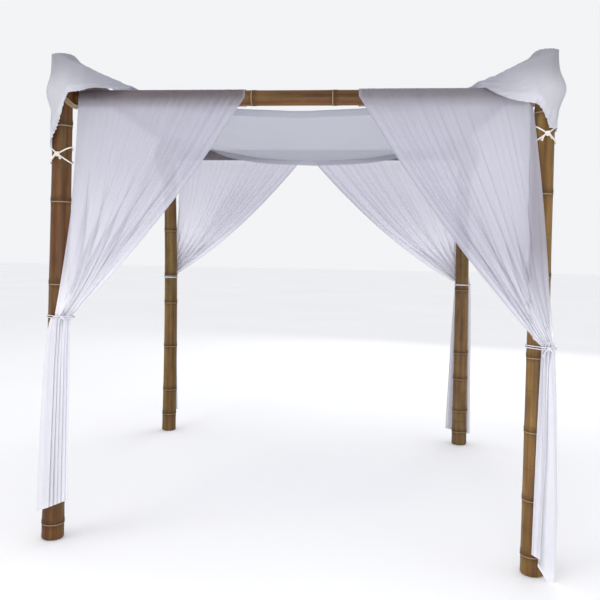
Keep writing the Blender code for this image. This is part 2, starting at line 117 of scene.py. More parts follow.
@dataclass(frozen=True)
class PoleSizes:
    """Where a pole stands, and what is tied to it.

    Its axis passes at at beam height, its foot stands foot away from below that, and it bows by bow between
    them. The nodes and the roof cloth's tie are heights above the floor.
    """

    at: tuple[float, float]
    foot: tuple[float, float]
    bow: tuple[float, float]
    nodes: tuple[float, ...]
    tie_height: float
    stout: float = 1.0


POLES = {
    Corner.FRONT_LEFT: PoleSizes(
        at=(-1.18, -1.19), foot=(-0.085, 0.06), bow=(0.003, 0.0),
        nodes=(0.09, 0.33, 0.64, 0.98, 1.36, 1.78, 2.16), tie_height=2.01,
    ),
    Corner.FRONT_RIGHT: PoleSizes(
        at=(1.205, -1.205), foot=(0.0, -0.11), bow=(-0.003, 0.0),
        nodes=(0.10, 0.37, 0.70, 1.06, 1.45, 1.85, 2.24), tie_height=2.13,
    ),
    Corner.BACK_LEFT: PoleSizes(
        at=(-1.21, 1.2), foot=(-0.01, 0.085), bow=(0.014, 0.0),
        nodes=(0.15, 0.36, 0.73, 1.10, 1.33, 1.70, 2.08), tie_height=2.04,
    ),
    Corner.BACK_RIGHT: PoleSizes(
        at=(1.19, 1.2), foot=(0.03, -0.06), bow=(0.003, 0.0),
        nodes=(0.11, 0.28, 0.54, 0.75, 1.26, 1.66, 2.07), tie_height=2.11, stout=1.03,
    ),
}


@dataclass(frozen=True)
class Layout:
    """The driving sizes of the frame, and where its poles and beams run."""

    half_spacing: float = 1.2
    beam_height: float = 2.32
    beam_rise_per_metre: float = 0.0104
    pole_above_beam: float = 0.195
    pole_top_radius: float = 0.0475
    pole_foot_radius: float = 0.0585
    pole_taper: float = 0.7
    beam_radius: float = 0.0385
    beam_run_on: tuple[float, float] = (0.066, 0.082)
    side_beam_run_on: tuple[float, float] = (0.060, 0.060)
    ridge: float = 1.05
    clearance: float = 0.0004
    cloth: float = 0.005
    sleeve_step_deg: float = 27.5

    @property
    def sleeve_radius(self) -> float:
        """The inner radius of the cloth's sleeve over a beam."""
        half_step = math.radians(self.sleeve_step_deg / 2)
        return (self.beam_radius * self.ridge + self.clearance) / math.cos(half_step)

    @property
    def side_beam_above(self) -> float:
        """How much higher the side beams run than the front and back ones."""
        return self.sleeve_radius + self.cloth + self.beam_radius + self.clearance

    def beam_centre(self, x: float) -> float:
        """The height of a beam's centre line at x."""
        return self.beam_height + self.beam_rise_per_metre * x

    def pole_top(self, corner: Corner) -> float:
        """The height of a pole's cut top."""
        return self.beam_centre(POLES[corner].at[0]) + self.pole_above_beam

    def pole_centre(self, corner: Corner, z: float) -> Vector:
        """A pole's axis at a height.

        Args:
            corner: The pole's corner.
            z: The height above the floor.

        Returns:
            A line from the foot through the pole's place at beam height, bowed a little between them.
        """
        sizes = POLES[corner]
        beam = self.beam_centre(sizes.at[0])
        share = 1 - z / beam
        bow = max(0.0, math.sin(math.pi * min(max(z / beam, 0), 1)))
        x = sizes.at[0] + sizes.foot[0] * share + sizes.bow[0] * bow
        y = sizes.at[1] + sizes.foot[1] * share + sizes.bow[1] * bow
        return Vector((x, y, z))

    def pole_radius(self, corner: Corner, z: float) -> float:
        """A pole's radius at a height, swelling towards its butt.

        Args:
            corner: The pole's corner.
            z: The height above the floor.

        Returns:
            The radius there.
        """
        share = min(max(z / (self.beam_height + self.pole_above_beam), 0), 1)
        slimmer = (self.pole_foot_radius - self.pole_top_radius) * share ** self.pole_taper
        return POLES[corner].stout * (self.pole_foot_radius - slimmer)

    def crossing(self, corner: Corner, crosswise: bool) -> Vector:
        """Where a beam's axis passes a pole.

        Args:
            corner: The pole's corner.
            crosswise: True for the front or back beam, False for the side beam, which runs a step higher.

        Returns:
            The point of the beam's axis against the pole's inner face.
        """
        z = self.beam_centre(POLES[corner].at[0]) + (0 if crosswise else self.side_beam_above)
        inward = Vector((0, -corner.sign_y, 0)) if crosswise else Vector((-corner.sign_x, 0, 0))
        apart = self.pole_radius(corner, z) + self.beam_radius + self.clearance
        return self.pole_centre(corner, z) + inward * apart

    def beam_ends(self, beam: Beam) -> tuple[Vector, Vector]:
        """The two ends of a beam's axis, each run on past its pole.

        Args:
            beam: Which of the four it is.

        Returns:
            The end at the first of its corners, then the one at the second.
        """
        start, end = (self.crossing(corner, beam.crosswise) for corner in beam.value[1:])
        along = (end - start).normalized()
        before, after = self.beam_run_on if beam.crosswise else self.side_beam_run_on
        return start - along * before, end + along * after

    def placed(self, plan: np.ndarray, rise: np.ndarray) -> np.ndarray:
        """Real places of nominal ones.

        Args:
            plan: Points (x, y) on the nominal square, in the last axis.
            rise: Their heights over the beams' centre line.

        Returns:
            The real points, with the square's corners moved to where the poles stand.
        """
        u = (plan[..., 0] / self.half_spacing + 1) / 2
        v = (plan[..., 1] / self.half_spacing + 1) / 2
        weights = {
            Corner.FRONT_LEFT: (1 - u) * (1 - v),
            Corner.FRONT_RIGHT: u * (1 - v),
            Corner.BACK_LEFT: (1 - u) * v,
            Corner.BACK_RIGHT: u * v,
        }
        x = sum(weight * POLES[corner].at[0] for corner, weight in weights.items())
        y = sum(weight * POLES[corner].at[1] for corner, weight in weights.items())
        return np.stack([x, y, self.beam_height + self.beam_rise_per_metre * x + rise], axis=-1)


LAYOUT = Layout()


# Shaders

class Wire:
    """A shader socket that sums and products can be written with."""

    def __init__(self, recipe: "Recipe", socket: bpy.types.NodeSocket) -> None:
        """Keeps the socket and the recipe that its node is in."""
        self.recipe = recipe
        self.socket = socket

    def _math(self, operation: str, first: "Wire | float", second: "Wire | float") -> "Wire":
        """A Math node's result for two values."""
        return self.recipe.node("ShaderNodeMath", {"operation": operation}, {0: first, 1: second})

    def __add__(self, other: "Wire | float") -> "Wire":
        """The sum with another value."""
        return self._math("ADD", self, other)

    __radd__ = __add__

    def __sub__(self, other: "Wire | float") -> "Wire":
        """The difference from another value."""
        return self._math("SUBTRACT", self, other)

    def __rsub__(self, other: float) -> "Wire":
        """A number less this value."""
        return self._math("SUBTRACT", other, self)

    def __mul__(self, other: "Wire | float") -> "Wire":
        """The product with another value."""
        return self._math("MULTIPLY", self, other)

    __rmul__ = __mul__

    def __truediv__(self, other: "Wire | float") -> "Wire":
        """The quotient by another value."""
        return self._math("DIVIDE", self, other)

    def __rtruediv__(self, other: float) -> "Wire":
        """A number divided by this value."""
        return self._math("DIVIDE", other, self)

    def absolute(self) -> "Wire":
        """This value without its sign."""
        return self.recipe.node("ShaderNodeMath", {"operation": "ABSOLUTE"}, {0: self})

    def clamped(self) -> "Wire":
        """This value held between 0 and 1."""
        return self.recipe.node("ShaderNodeClamp", {}, {"Value": self})

    def step(self, low: float, high: float) -> "Wire":
        """0 below low, 1 above high, and smooth between them.

        Args:
            low: Where it starts to rise.
            high: Where it has risen.

        Returns:
            That step.
        """
        settings = {"interpolation_type": "SMOOTHSTEP"}
        sockets = {"Value": self, "From Min": low, "From Max": high}
        return self.recipe.node("ShaderNodeMapRange", settings, sockets)


class Recipe:
    """A material being put together."""

    def __init__(self, name: str) -> None:
        """Starts a node material with a Principled shader.

        Args:
            name: The material's name.
        """
        self.material = bpy.data.materials.new(name)
        self.material.use_nodes = True
        self.tree = self.material.node_tree
        self.shader = self.tree.nodes["Principled BSDF"]
        self.shader.name = "Surface finish"
        self.output = self.tree.nodes["Material Output"]

    def node(self, kind: str, settings: dict, sockets: dict, output: int | str = 0) -> Wire:
        """Adds a node of any kind.

        Args:
            kind: The node's type.
            settings: Its own settings, or under "stops" a ramp's places and colours.
            sockets: What its inputs are set to or linked from, by name or number.
            output: The name or number of the output that is wanted.

        Returns:
            That output.
        """
        made = self.tree.nodes.new(kind)
        for name, value in settings.items():
            if name == "stops":
                self._set_stops(made.color_ramp, value)
            else:
                setattr(made, name, value)
        for name, value in sockets.items():
            self.feed(made.inputs[name], value)
        return Wire(self, made.outputs[output])

    def feed(self, socket: bpy.types.NodeSocket, value: object) -> None:
        """Links a wire to a socket, or sets the socket to a plain value.

        Args:
            socket: The input.
            value: A wire, or a plain value of the socket's kind.
        """
        if isinstance(value, Wire):
            self.tree.links.new(value.socket, socket)
        else:
            socket.default_value = value

    @staticmethod
    def _set_stops(ramp: bpy.types.ColorRamp, stops: list[tuple[float, tuple[float, float, float]]]) -> None:
        """Gives a colour ramp its places and colours.

        Args:
            ramp: The ramp, as Blender makes it.
            stops: Places from 0 to 1, with a colour each.
        """
        while len(ramp.elements) < len(stops):
            ramp.elements.new(1.0)
        for element, (place, colour) in zip(ramp.elements, stops):
            element.position = place
            element.color = (*colour, 1.0)

    def attribute(self, name: str, output: str = "Vector") -> Wire:
        """A named attribute of the mesh."""
        return self.node("ShaderNodeAttribute", {"attribute_name": name}, {}, output)

    def scaled(self, vector: Wire, scale: tuple[float, float, float]) -> Wire:
        """A vector stretched along its axes."""
        return self.node("ShaderNodeMapping", {}, {"Vector": vector, "Scale": scale})

    def speckle(self, vector: Wire, scale: float, detail: float = 3.0, roughness: float = 0.5) -> Wire:
        """Soft noise from 0 to 1."""
        sockets = {"Vector": vector, "Scale": scale, "Detail": detail, "Roughness": roughness}
        return self.node("ShaderNodeTexNoise", {}, sockets)

    def ramp(self, value: Wire, stops: list[tuple[float, tuple[float, float, float]]]) -> Wire:
        """A colour for a value."""
        return self.node("ShaderNodeValToRGB", {"stops": stops}, {"Fac": value})

    def mixed(self, share: Wire | float, first: object, second: object, blend: str = "MIX") -> Wire:
        """A mix of two colours."""
        settings = {"data_type": "RGBA", "blend_type": blend}
        return self.node("ShaderNodeMix", settings, {0: share, 6: first, 7: second}, 2)

    def bump(self, height: Wire, strength: float, distance: float, under: Wire | None = None) -> Wire:
        """A normal from a height, laid over another normal where one is given.

        Args:
            height: The height at each point.
            strength: How much of it shows, from 0 to 1.
            distance: What a height of 1 stands for, in metres.
            under: The normal that it lies on.

        Returns:
            The normal.
        """
        sockets = {"Height": height, "Strength": strength, "Distance": distance}
        if under is not None:
            sockets["Normal"] = under
        return self.node("ShaderNodeBump", {}, sockets)

    def surface(self, **values: object) -> None:
        """Sets or links inputs of the Principled shader, with _ in a name for a space."""
        for name, value in values.items():
            self.feed(self.shader.inputs[name.replace("_", " ")], value)


@dataclass(frozen=True)
class BambooFinish:
    """Old brown bamboo: long fibres, mottled skin, darker nodes with a pale scar ring, and pale cut ends."""

    name: str
    dark: tuple[float, float, float] = (0.042, 0.018, 0.006)
    middle: tuple[float, float, float] = (0.122, 0.059, 0.017)
    light: tuple[float, float, float] = (0.26, 0.150, 0.048)
    olive: tuple[float, float, float] = (0.165, 0.125, 0.035)
    red: tuple[float, float, float] = (0.135, 0.045, 0.014)
    node_tone: tuple[float, float, float] = (0.035, 0.018, 0.009)
    scar: tuple[float, float, float] = (0.42, 0.31, 0.18)
    fibre_scale: tuple[float, float, float] = (150.0, 150.0, 2.2)
    streak_scale: tuple[float, float, float] = (38.0, 38.0, 0.9)
    blotch_scale: tuple[float, float, float] = (14.0, 14.0, 5.0)
    wash_scale: tuple[float, float, float] = (22.0, 22.0, 1.6)
    stain_scale: tuple[float, float, float] = (60.0, 60.0, 30.0)
    crack_scale: tuple[float, float, float] = (95.0, 95.0, 0.7)
    stain_reach: tuple[float, float] = (0.008, 0.052)
    scar_below_node: float = 0.006
    scar_reach: tuple[float, float] = (0.0012, 0.0034)

    def skin(self) -> bpy.types.Material:
        """The culm's outer skin.

        Returns:
            The material, which reads the attributes culm_at and from_node.
        """
        mix = Recipe(self.name)
        at = mix.attribute("culm_at")
        beyond = mix.attribute("from_node", "Fac")
        fibres = mix.speckle(mix.scaled(at, self.fibre_scale), 1.0, 4.0, 0.65)
        streaks = mix.speckle(mix.scaled(at, self.streak_scale), 1.0, 3.0, 0.6)
        blotches = mix.speckle(mix.scaled(at, self.blotch_scale), 1.0, 4.0, 0.6)
        washes = mix.speckle(mix.scaled(at, self.wash_scale), 1.0, 2.0, 0.5)
        edge = mix.speckle(mix.scaled(at, self.stain_scale), 1.0, 2.0, 0.6)
        cracks = mix.speckle(mix.scaled(at, self.crack_scale), 1.0, 2.0, 0.5).step(0.66, 0.70)
        tone = (fibres * 0.35 + streaks * 0.75 + blotches * 0.55 - 0.32).clamped()
        colour = mix.ramp(tone, [(0.22, self.dark), (0.5, self.middle), (0.85, self.light)])
        colour = mix.mixed(washes.step(0.52, 0.74) * 0.42, colour, (*self.olive, 1.0))
        colour = mix.mixed((1 - washes).step(0.54, 0.76) * 0.40, colour, (*self.red, 1.0))
        stained = 1 - (beyond.absolute() + edge * 0.03).step(*self.stain_reach)
        colour = mix.mixed(stained * 0.62, colour, (*self.node_tone, 1.0))
        scarred = 1 - (beyond + self.scar_below_node).absolute().step(*self.scar_reach)
        colour = mix.mixed(scarred * 0.6, colour, (*self.scar, 1.0))
        colour = mix.mixed(cracks * 0.55, colour, (*self.node_tone, 1.0))
        fine = mix.bump(fibres * 0.6 + streaks * 0.4, 0.35, 0.0012)
        mix.surface(
            Base_Color=colour,
            Roughness=(0.36 + blotches * 0.22 + stained * 0.18).clamped(),
            Coat_Weight=(0.06 - stained * 0.06).clamped(),
            Coat_Roughness=0.3,
            Specular_IOR_Level=0.22,
            Normal=mix.bump(1 - cracks, 0.5, 0.0015, fine),
        )
        return mix.material

    def cut(self) -> bpy.types.Material:
        """The sawn wall and the diaphragm, pale with dark pores.

        Returns:
            The material.
        """
        mix = Recipe(f"{self.name}_cut")
        at = mix.node("ShaderNodeTexCoord", {}, {}, "Object")
        cells = mix.node("ShaderNodeTexVoronoi", {}, {"Vector": at, "Scale": 420.0}, "Distance")
        pores = cells.step(0.15, 0.4)
        cloud = mix.speckle(at, 35.0)
        colour = mix.ramp(cloud, [(0.3, (0.24, 0.15, 0.07)), (0.7, (0.46, 0.33, 0.18))])
        colour = mix.mixed(1 - pores, colour, (0.10, 0.06, 0.03, 1.0))
        mix.surface(Base_Color=colour, Roughness=0.8, Normal=mix.bump(pores, 0.3, 0.0006))
        return mix.material


@dataclass(frozen=True)
class VoileFinish:
    """White voile: greyish in one layer, white where many lie together, with slubs in warp and weft. The step
    from grey to white is partly real, since stacked voile is whiter, and partly painted light: on the
    curtains the grey stands in for the roof's shade over their upper parts, and the white makes up for the
    shade between gathered folds.

    The passing is the share of light that comes through one layer, and the cover how much of what is behind
    it is hidden. A hem lets less through by hem_shade, and its colour is darkened by hem_painted_shade, a
    painted shade line along the hems; a negative hemmed, as at a curtain's outer edge, lightens the colour
    instead, as painted light.
    """

    name: str
    # Part of the step from the greyish single colour to the white many colour is painted light and shade:
    # single is greyed for the roof's shade over the upper curtains, and many lifts the gathered parts to make
    # up for the shade between their folds.
    single: tuple[float, float, float] = (0.535, 0.527, 0.612)
    many: tuple[float, float, float] = (0.96, 0.955, 1.0)
    through: tuple[float, float, float] = (0.60, 0.595, 0.68)
    passing: float = 0.52
    cover: float = 0.81
    hem_shade: float = 0.32
    # A hem's colour is darkened by hem_painted_shade: a painted shade line along the hems.
    hem_painted_shade: float = 0.24
    warp_scale: tuple[float, float, float] = (420.0, 9.0, 1.0)
    weft_scale: tuple[float, float, float] = (9.0, 420.0, 1.0)
    crease_scale: tuple[float, float, float] = (26.0, 3.2, 1.0)
    cloud_scale: tuple[float, float, float] = (2.2, 1.4, 1.0)

    def cloth(self) -> bpy.types.Material:
        """The woven sheet.

        Returns:
            The material, which reads the UV map "cut", in metres on the flat cloth, and the attributes
            hemmed and layers.
        """
        mix = Recipe(self.name)
        flat = mix.node("ShaderNodeUVMap", {"uv_map": "cut"}, {})
        hemmed = mix.attribute("hemmed", "Fac")
        layers = mix.attribute("layers", "Fac")
        warp = mix.speckle(mix.scaled(flat, self.warp_scale), 1.0, 2.0, 0.6)
        weft = mix.speckle(mix.scaled(flat, self.weft_scale), 1.0, 2.0, 0.6)
        slubs = warp * 0.5 + weft * 0.5
        creases = mix.speckle(mix.scaled(flat, self.crease_scale), 1.0, 4.0, 0.62)
        cloud = mix.speckle(mix.scaled(flat, self.cloud_scale), 1.0, 2.0, 0.5)
        # Hems are darkened here by hem_painted_shade, as painted shade, and a negative hemmed at a curtain's
        # outer edge lightens the colour, as painted light; the slubs and cloud are the cloth's own tone.
        shade = (0.93 - hemmed * self.hem_painted_shade + (slubs - 0.5) * 0.20 + (cloud - 0.5) * 0.10).clamped()
        grey = mix.ramp(shade, [(0.0, (0.0, 0.0, 0.0)), (1.0, (1.0, 1.0, 1.0))])
        # Grey to white as the layers attribute rises: partly real, stacked voile being whiter, and partly
        # painted light and shade, standing in for the roof's shade on the upper curtains and making up for
        # the shade between gathered folds.
        colour = mix.mixed(layers, (*self.single, 1.0), (*self.many, 1.0))
        colour = mix.mixed(1.0, colour, grey, "MULTIPLY")
        normal = mix.bump(slubs, 0.25, 0.0006, mix.bump(creases, 0.55, 0.004))
        mix.surface(
            Base_Color=colour,
            Roughness=0.78,
            Sheen_Weight=0.2,
            Sheen_Roughness=0.4,
            Specular_IOR_Level=0.2,
            Alpha=(self.cover + (slubs - 0.5) * 0.16 + hemmed * 0.12 + layers * 0.17).clamped(),
            Normal=normal,
        )
        share = (self.passing - hemmed * self.hem_shade - layers * 0.22 + (slubs - 0.5) * 0.1).clamped()
        lit = mix.node("ShaderNodeBsdfTranslucent", {}, {"Color": (*self.through, 1.0), "Normal": normal})
        both = mix.node("ShaderNodeMixShader", {}, {0: share, 1: Wire(mix, mix.shader.outputs[0]), 2: lit})
        mix.feed(mix.output.inputs["Surface"], both)
        return mix.material


@dataclass(frozen=True)
class FibreFinish:
    """Twisted fibre: cotton cord or natural rope."""

    name: str
    dark: tuple[float, float, float]
    light: tuple[float, float, float]
    hair_scale: float

    def yarn(self) -> bpy.types.Material:
        """The strands' surface, by place on the object.

        Returns:
            The material.
        """
        mix = Recipe(self.name)
        at = mix.node("ShaderNodeTexCoord", {}, {}, "Object")
        hairs = mix.speckle(at, self.hair_scale, 4.0, 0.7)
        worn = mix.speckle(at, 24.0, 2.0, 0.5)
        colour = mix.ramp(hairs * 0.7 + worn * 0.3, [(0.3, self.dark), (0.65, self.light)])
        mix.surface(Base_Color=colour, Roughness=0.85, Sheen_Weight=0.3, Normal=mix.bump(hairs, 0.5, 0.0008))
        return mix.material


POLE_BAMBOO = {
    Corner.FRONT_LEFT: BambooFinish(
        "bamboo_dark", dark=(0.036, 0.013, 0.004), middle=(0.090, 0.034, 0.008), light=(0.185, 0.088, 0.025),
        olive=(0.115, 0.082, 0.027),
    ),
    Corner.FRONT_RIGHT: BambooFinish(
        "bamboo_orange", middle=(0.140, 0.072, 0.018), light=(0.30, 0.178, 0.050),
    ),
    Corner.BACK_LEFT: BambooFinish("bamboo_olive", middle=(0.122, 0.064, 0.016), light=(0.27, 0.165, 0.045)),
    Corner.BACK_RIGHT: BambooFinish("bamboo_tan", middle=(0.140, 0.072, 0.025), light=(0.29, 0.175, 0.062)),
}
BEAM_BAMBOO = BambooFinish("beam_bamboo", middle=(0.100, 0.040, 0.008), light=(0.215, 0.106, 0.026))
# The roof's voile lets a dimmer, bluer colour through than the curtains': painted shade for the roof's
# underside and ears.
ROOF_VOILE_WITH_PAINTED_SHADE = VoileFinish(
    "roof_voile", single=(0.58, 0.585, 0.66), through=(0.32, 0.333, 0.41), passing=0.40, hem_shade=0.05,
    hem_painted_shade=0.0,
)
CURTAIN_VOILE = VoileFinish("curtain_voile")
COTTON = FibreFinish("cotton_cord", (0.58, 0.53, 0.45), (0.88, 0.85, 0.78), 900.0)
MUTED_COTTON = FibreFinish("muted_cotton_cord", (0.50, 0.48, 0.53), (0.78, 0.77, 0.84), 900.0)
HEMP = FibreFinish("hemp_rope", (0.13, 0.085, 0.04), (0.46, 0.34, 0.19), 700.0)


# Pieces

def dressed(
    name: str,
    shape: bmesh.types.BMesh | bpy.types.Mesh,
    materials: list[bpy.types.Material],
    slot: Slot,
    *nodes: str,
) -> bpy.types.Object:
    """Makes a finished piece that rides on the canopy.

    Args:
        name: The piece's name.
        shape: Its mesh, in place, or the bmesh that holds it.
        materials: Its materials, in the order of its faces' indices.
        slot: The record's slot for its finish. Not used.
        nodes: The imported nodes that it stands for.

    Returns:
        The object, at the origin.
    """
    if isinstance(shape, bmesh.types.BMesh):
        mesh = bpy.data.meshes.new(name)
        shape.to_mesh(mesh)
        shape.free()
    else:
        mesh = shape
        mesh.name = name
    mesh.shade_smooth()
    mesh.materials.clear()
    for material in materials:
        mesh.materials.append(material)
    piece = bpy.data.objects.new(name, mesh)
    bpy.context.scene.collection.objects.link(piece)
    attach(piece, "root")
    if nodes:
        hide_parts(*nodes)
    return piece


def eased(values: np.ndarray | float, low: float, high: float) -> np.ndarray:
    """0 below low, 1 above high, and smooth between them."""
    share = np.clip((np.asarray(values, float) - low) / (high - low), 0, 1)
    return share * share * (3 - 2 * share)


def rippled(first: np.ndarray, second: np.ndarray, seed: float) -> np.ndarray:
    """Soft noise from about -1 to 1 over two coordinates.

    Args:
        first: The first coordinate of each place.
        second: The second one, in an array of the same shape.
        seed: Which noise it is.

    Returns:
        The noise, in an array of that shape.
    """
    flat = [noise.noise(Vector((a, b, seed))) for a, b in zip(first.ravel(), second.ravel())]
    return np.array(flat).reshape(first.shape)


def smooth_through(places: np.ndarray, knots: np.ndarray, values: np.ndarray) -> np.ndarray:
    """A smooth curve through knots, which never runs past them.

    Args:
        places: Where the curve is read.
        knots: Rising places of the known values.
        values: The known values, one row a knot.

    Returns:
        The curve's values at those places.
    """
    knots = np.asarray(knots, float)
    values = np.asarray(values, float).reshape(len(knots), -1)
    gaps = np.diff(knots)[:, None]
    slopes = np.diff(values, axis=0) / gaps
    tangents = np.zeros_like(values)
    same_way = slopes[:-1] * slopes[1:] > 0
    harmonic = 2 * slopes[:-1] * slopes[1:] / np.where(same_way, slopes[:-1] + slopes[1:], 1)
    tangents[1:-1] = np.where(same_way, harmonic, 0)
    tangents[0], tangents[-1] = slopes[0], slopes[-1]
    flat = np.clip(np.asarray(places, float).ravel(), knots[0], knots[-1])
    i = np.clip(np.searchsorted(knots, flat, side="right") - 1, 0, len(knots) - 2)
    t = ((flat - knots[i]) / gaps[i, 0])[:, None]
    made = (
        (2 * t**3 - 3 * t**2 + 1) * values[i]
        + (t**3 - 2 * t**2 + t) * gaps[i] * tangents[i]
        + (3 * t**2 - 2 * t**3) * values[i + 1]
        + (t**3 - t**2) * gaps[i] * tangents[i + 1]
    )
    return made.reshape(*np.shape(places), -1)


def sheet_of(points: np.ndarray, flat: np.ndarray, **marks: np.ndarray) -> bmesh.types.BMesh:
    """A woven sheet with its weave laid out on the flat cloth.

    Args:
        points: Where each thread crossing lies, as rows of columns.
        flat: Its place on the flat cloth, in metres.
        marks: Attributes of the cloth, from 0 to 1, by their names.

    Returns:
        The sheet, one layer thick, with a UV map "cut" and those attributes.
    """
    rows, columns = points.shape[:2]
    bm = bmesh.new()
    cut = bm.loops.layers.uv.new("cut")
    kept = [(bm.verts.layers.float.new(name), values) for name, values in marks.items()]
    bmesh.ops.create_grid(bm, x_segments=columns - 1, y_segments=rows - 1, size=0.5)
    places = {}
    for vert in bm.verts:
        place = (round((vert.co.y + 0.5) * (rows - 1)), round((vert.co.x + 0.5) * (columns - 1)))
        places[vert] = place
        vert.co = points[place]
        for layer, values in kept:
            vert[layer] = values[place]
    for face in bm.faces:
        for corner in face.loops:
            corner[cut].uv = flat[places[corner.vert]]
    return bm


def normals_of(points: np.ndarray) -> np.ndarray:
    """The way that a sheet of points faces at each of them.

    Args:
        points: The sheet, as rows of columns.

    Returns:
        Unit normals, in an array of the same shape.
    """
    along = np.gradient(points, axis=0)
    across = np.gradient(points, axis=1)
    normals = np.cross(across, along)
    return normals / np.maximum(np.linalg.norm(normals, axis=-1, keepdims=True), 1e-9)


# Bamboo

@dataclass(frozen=True)
class CulmSizes:
    """The shape of a culm's nodes and ends, as shares of its radius or in metres."""

    sides: int = 48
    wall_share: float = 0.78
    recess: float = 0.05
    diaphragm_dome: float = 0.004
    rim_round: float = 0.0015
    ring_step: float = 0.03
    waist: float = 0.008
    unround: float = 0.012
    bud_height: float = 0.0035
    bud_size: float = 0.011
    bud_above_node: float = 0.014
    bud_stretch: float = 0.6
    node_reach: float = 0.036
    end_reach: float = 0.004
    foot_shape: tuple[tuple[float, float], ...] = ((0.0, 0.010), (0.004, 0.003), (0.010, 0.0))
    node_shape: tuple[tuple[float, float], ...] = (
        (-0.026, 1.0), (-0.014, 1.006), (-0.008, 1.020), (-0.0062, 1.045), (-0.0045, 1.048), (-0.003, 1.022),
        (0.0, 1.018), (0.004, 1.032), (0.009, 1.040), (0.014, 1.026), (0.022, 1.008), (0.034, 1.0),
    )


@dataclass(frozen=True)
class Culm:
    """One bamboo culm, turned about its own axis and then set in its place.

    Its radius is a function of the distance from its foot. An open foot is sawn like the top, and another one
    stands flat. The seed says which of many unlike culms it is.
    """

    length: float
    nodes: tuple[float, ...]
    radius_at: Callable[[float], float]
    open_foot: bool
    seed: int
    sizes: CulmSizes = CulmSizes()

    def _levels(self) -> list[tuple[float, float]]:
        """Distances from the foot and radii up the outer skin, without the ends.

        Returns:
            Pairs of distance and radius, from the foot up.
        """
        sizes = self.sizes
        levels = {}
        stops = [0.0, *self.nodes, self.length]
        for low, high in zip(stops, stops[1:]):
            count = max(2, int((high - low) / sizes.ring_step))
            for i in range(1, count):
                share = i / count
                s = low + (high - low) * share
                if min(abs(s - node) for node in self.nodes) < sizes.node_reach:
                    continue
                levels[s] = self.radius_at(s) * (1 - sizes.waist * math.sin(math.pi * share))
        for node in self.nodes:
            for offset, swell in sizes.node_shape:
                if sizes.end_reach < node + offset < self.length - sizes.end_reach:
                    levels[node + offset] = self.radius_at(node) * swell
        return sorted(levels.items())

    def _open_end(self, s: float, inward: int) -> list[tuple[float, float]]:
        """The profile of a sawn end, from its diaphragm out to the rim.

        Args:
            s: How far up the culm the end is.
            inward: 1 at the foot, -1 at the top.

        Returns:
            Pairs of distance and radius.
        """
        sizes = self.sizes
        outer = self.radius_at(s)
        inner = outer * sizes.wall_share
        floor = s + inward * sizes.recess
        return [
            (floor - inward * sizes.diaphragm_dome, 0.0),
            (floor, inner * 0.8),
            (floor - inward * 0.003, inner),
            (s + inward * sizes.rim_round, inner),
            (s, inner + sizes.rim_round),
            (s, outer - sizes.rim_round),
            (s + inward * sizes.rim_round, outer),
        ]

    def profile(self) -> list[tuple[float, float]]:
        """The half section, as distances along the axis and radii, foot to top.

        Returns:
            Pairs of distance and radius.
        """
        if self.open_foot:
            foot = self._open_end(0.0, 1)
        else:
            foot = [(0.0, 0.0), *((s, self.radius_at(0) - inset) for s, inset in self.sizes.foot_shape)]
        return foot + self._levels() + self._open_end(self.length, -1)[::-1]

    def mesh(self) -> bmesh.types.BMesh:
        """The culm about the Z axis, with its foot at the origin.

        Returns:
            The mesh, with the attributes culm_at and from_node, and its cut ends on material 1.
        """
        sizes = self.sizes
        bm = bmesh.new()
        own = bm.verts.layers.float_vector.new("culm_at")
        beyond = bm.verts.layers.float.new("from_node")
        line = [bm.verts.new((radius, 0, s)) for s, radius in self.profile()]
        edges = [bm.edges.new(pair) for pair in zip(line, line[1:])]
        bmesh.ops.spin(
            bm, geom=line + edges, cent=(0, 0, 0), axis=(0, 0, 1), angle=2 * math.pi, steps=sizes.sides,
            use_merge=True, use_duplicate=False,
        )
        bmesh.ops.remove_doubles(bm, verts=bm.verts, dist=1e-5)
        bmesh.ops.recalc_face_normals(bm, faces=bm.faces)
        rim = 2 * sizes.rim_round
        for face in bm.faces:
            middle = face.calc_center_median()
            reach = math.hypot(middle.x, middle.y)
            within = reach < self.radius_at(middle.z) - sizes.rim_round * 0.6
            at_top = middle.z > self.length - sizes.recess - rim
            at_foot = self.open_foot and middle.z < sizes.recess + rim
            face.material_index = 1 if within and (at_top or at_foot) else 0
        for vert in bm.verts:
            vert[own] = vert.co + Vector((0, 0, 7.3 * self.seed))
            vert[beyond] = min((vert.co.z - node for node in self.nodes), key=abs)
            vert.co = self._unevened(vert.co)
        return bm

    def _unevened(self, at: Vector) -> Vector:
        """A point of the turned skin moved to where a grown culm has it.

        Args:
            at: The point, with the culm's foot at the origin.

        Returns:
            Where it goes.
        """
        sizes = self.sizes
        reach = math.hypot(at.x, at.y)
        if reach < 0.02:
            return at.copy()
        sideways = Vector((at.x, at.y, 0)) / reach
        rough = noise.noise(Vector((sideways.x * 1.3, sideways.y * 1.3, at.z * 1.7 + 5.1 * self.seed)))
        swell = 1 + sizes.unround * 0.5 * rough * eased(self.length - at.z, 0, 0.1)
        bud = 0.0
        for i, node in enumerate(self.nodes):
            turn = math.pi * i + 0.9 * self.seed
            toward = sideways.x * math.cos(turn) + sideways.y * math.sin(turn)
            if toward > 0.5:
                round_by = math.acos(min(1.0, toward)) * reach
                off = math.hypot(round_by, (at.z - node - sizes.bud_above_node) * sizes.bud_stretch)
                bud += sizes.bud_height * math.exp(-((off / sizes.bud_size) ** 2))
        return Vector((at.x * swell, at.y * swell, at.z)) + sideways * bud


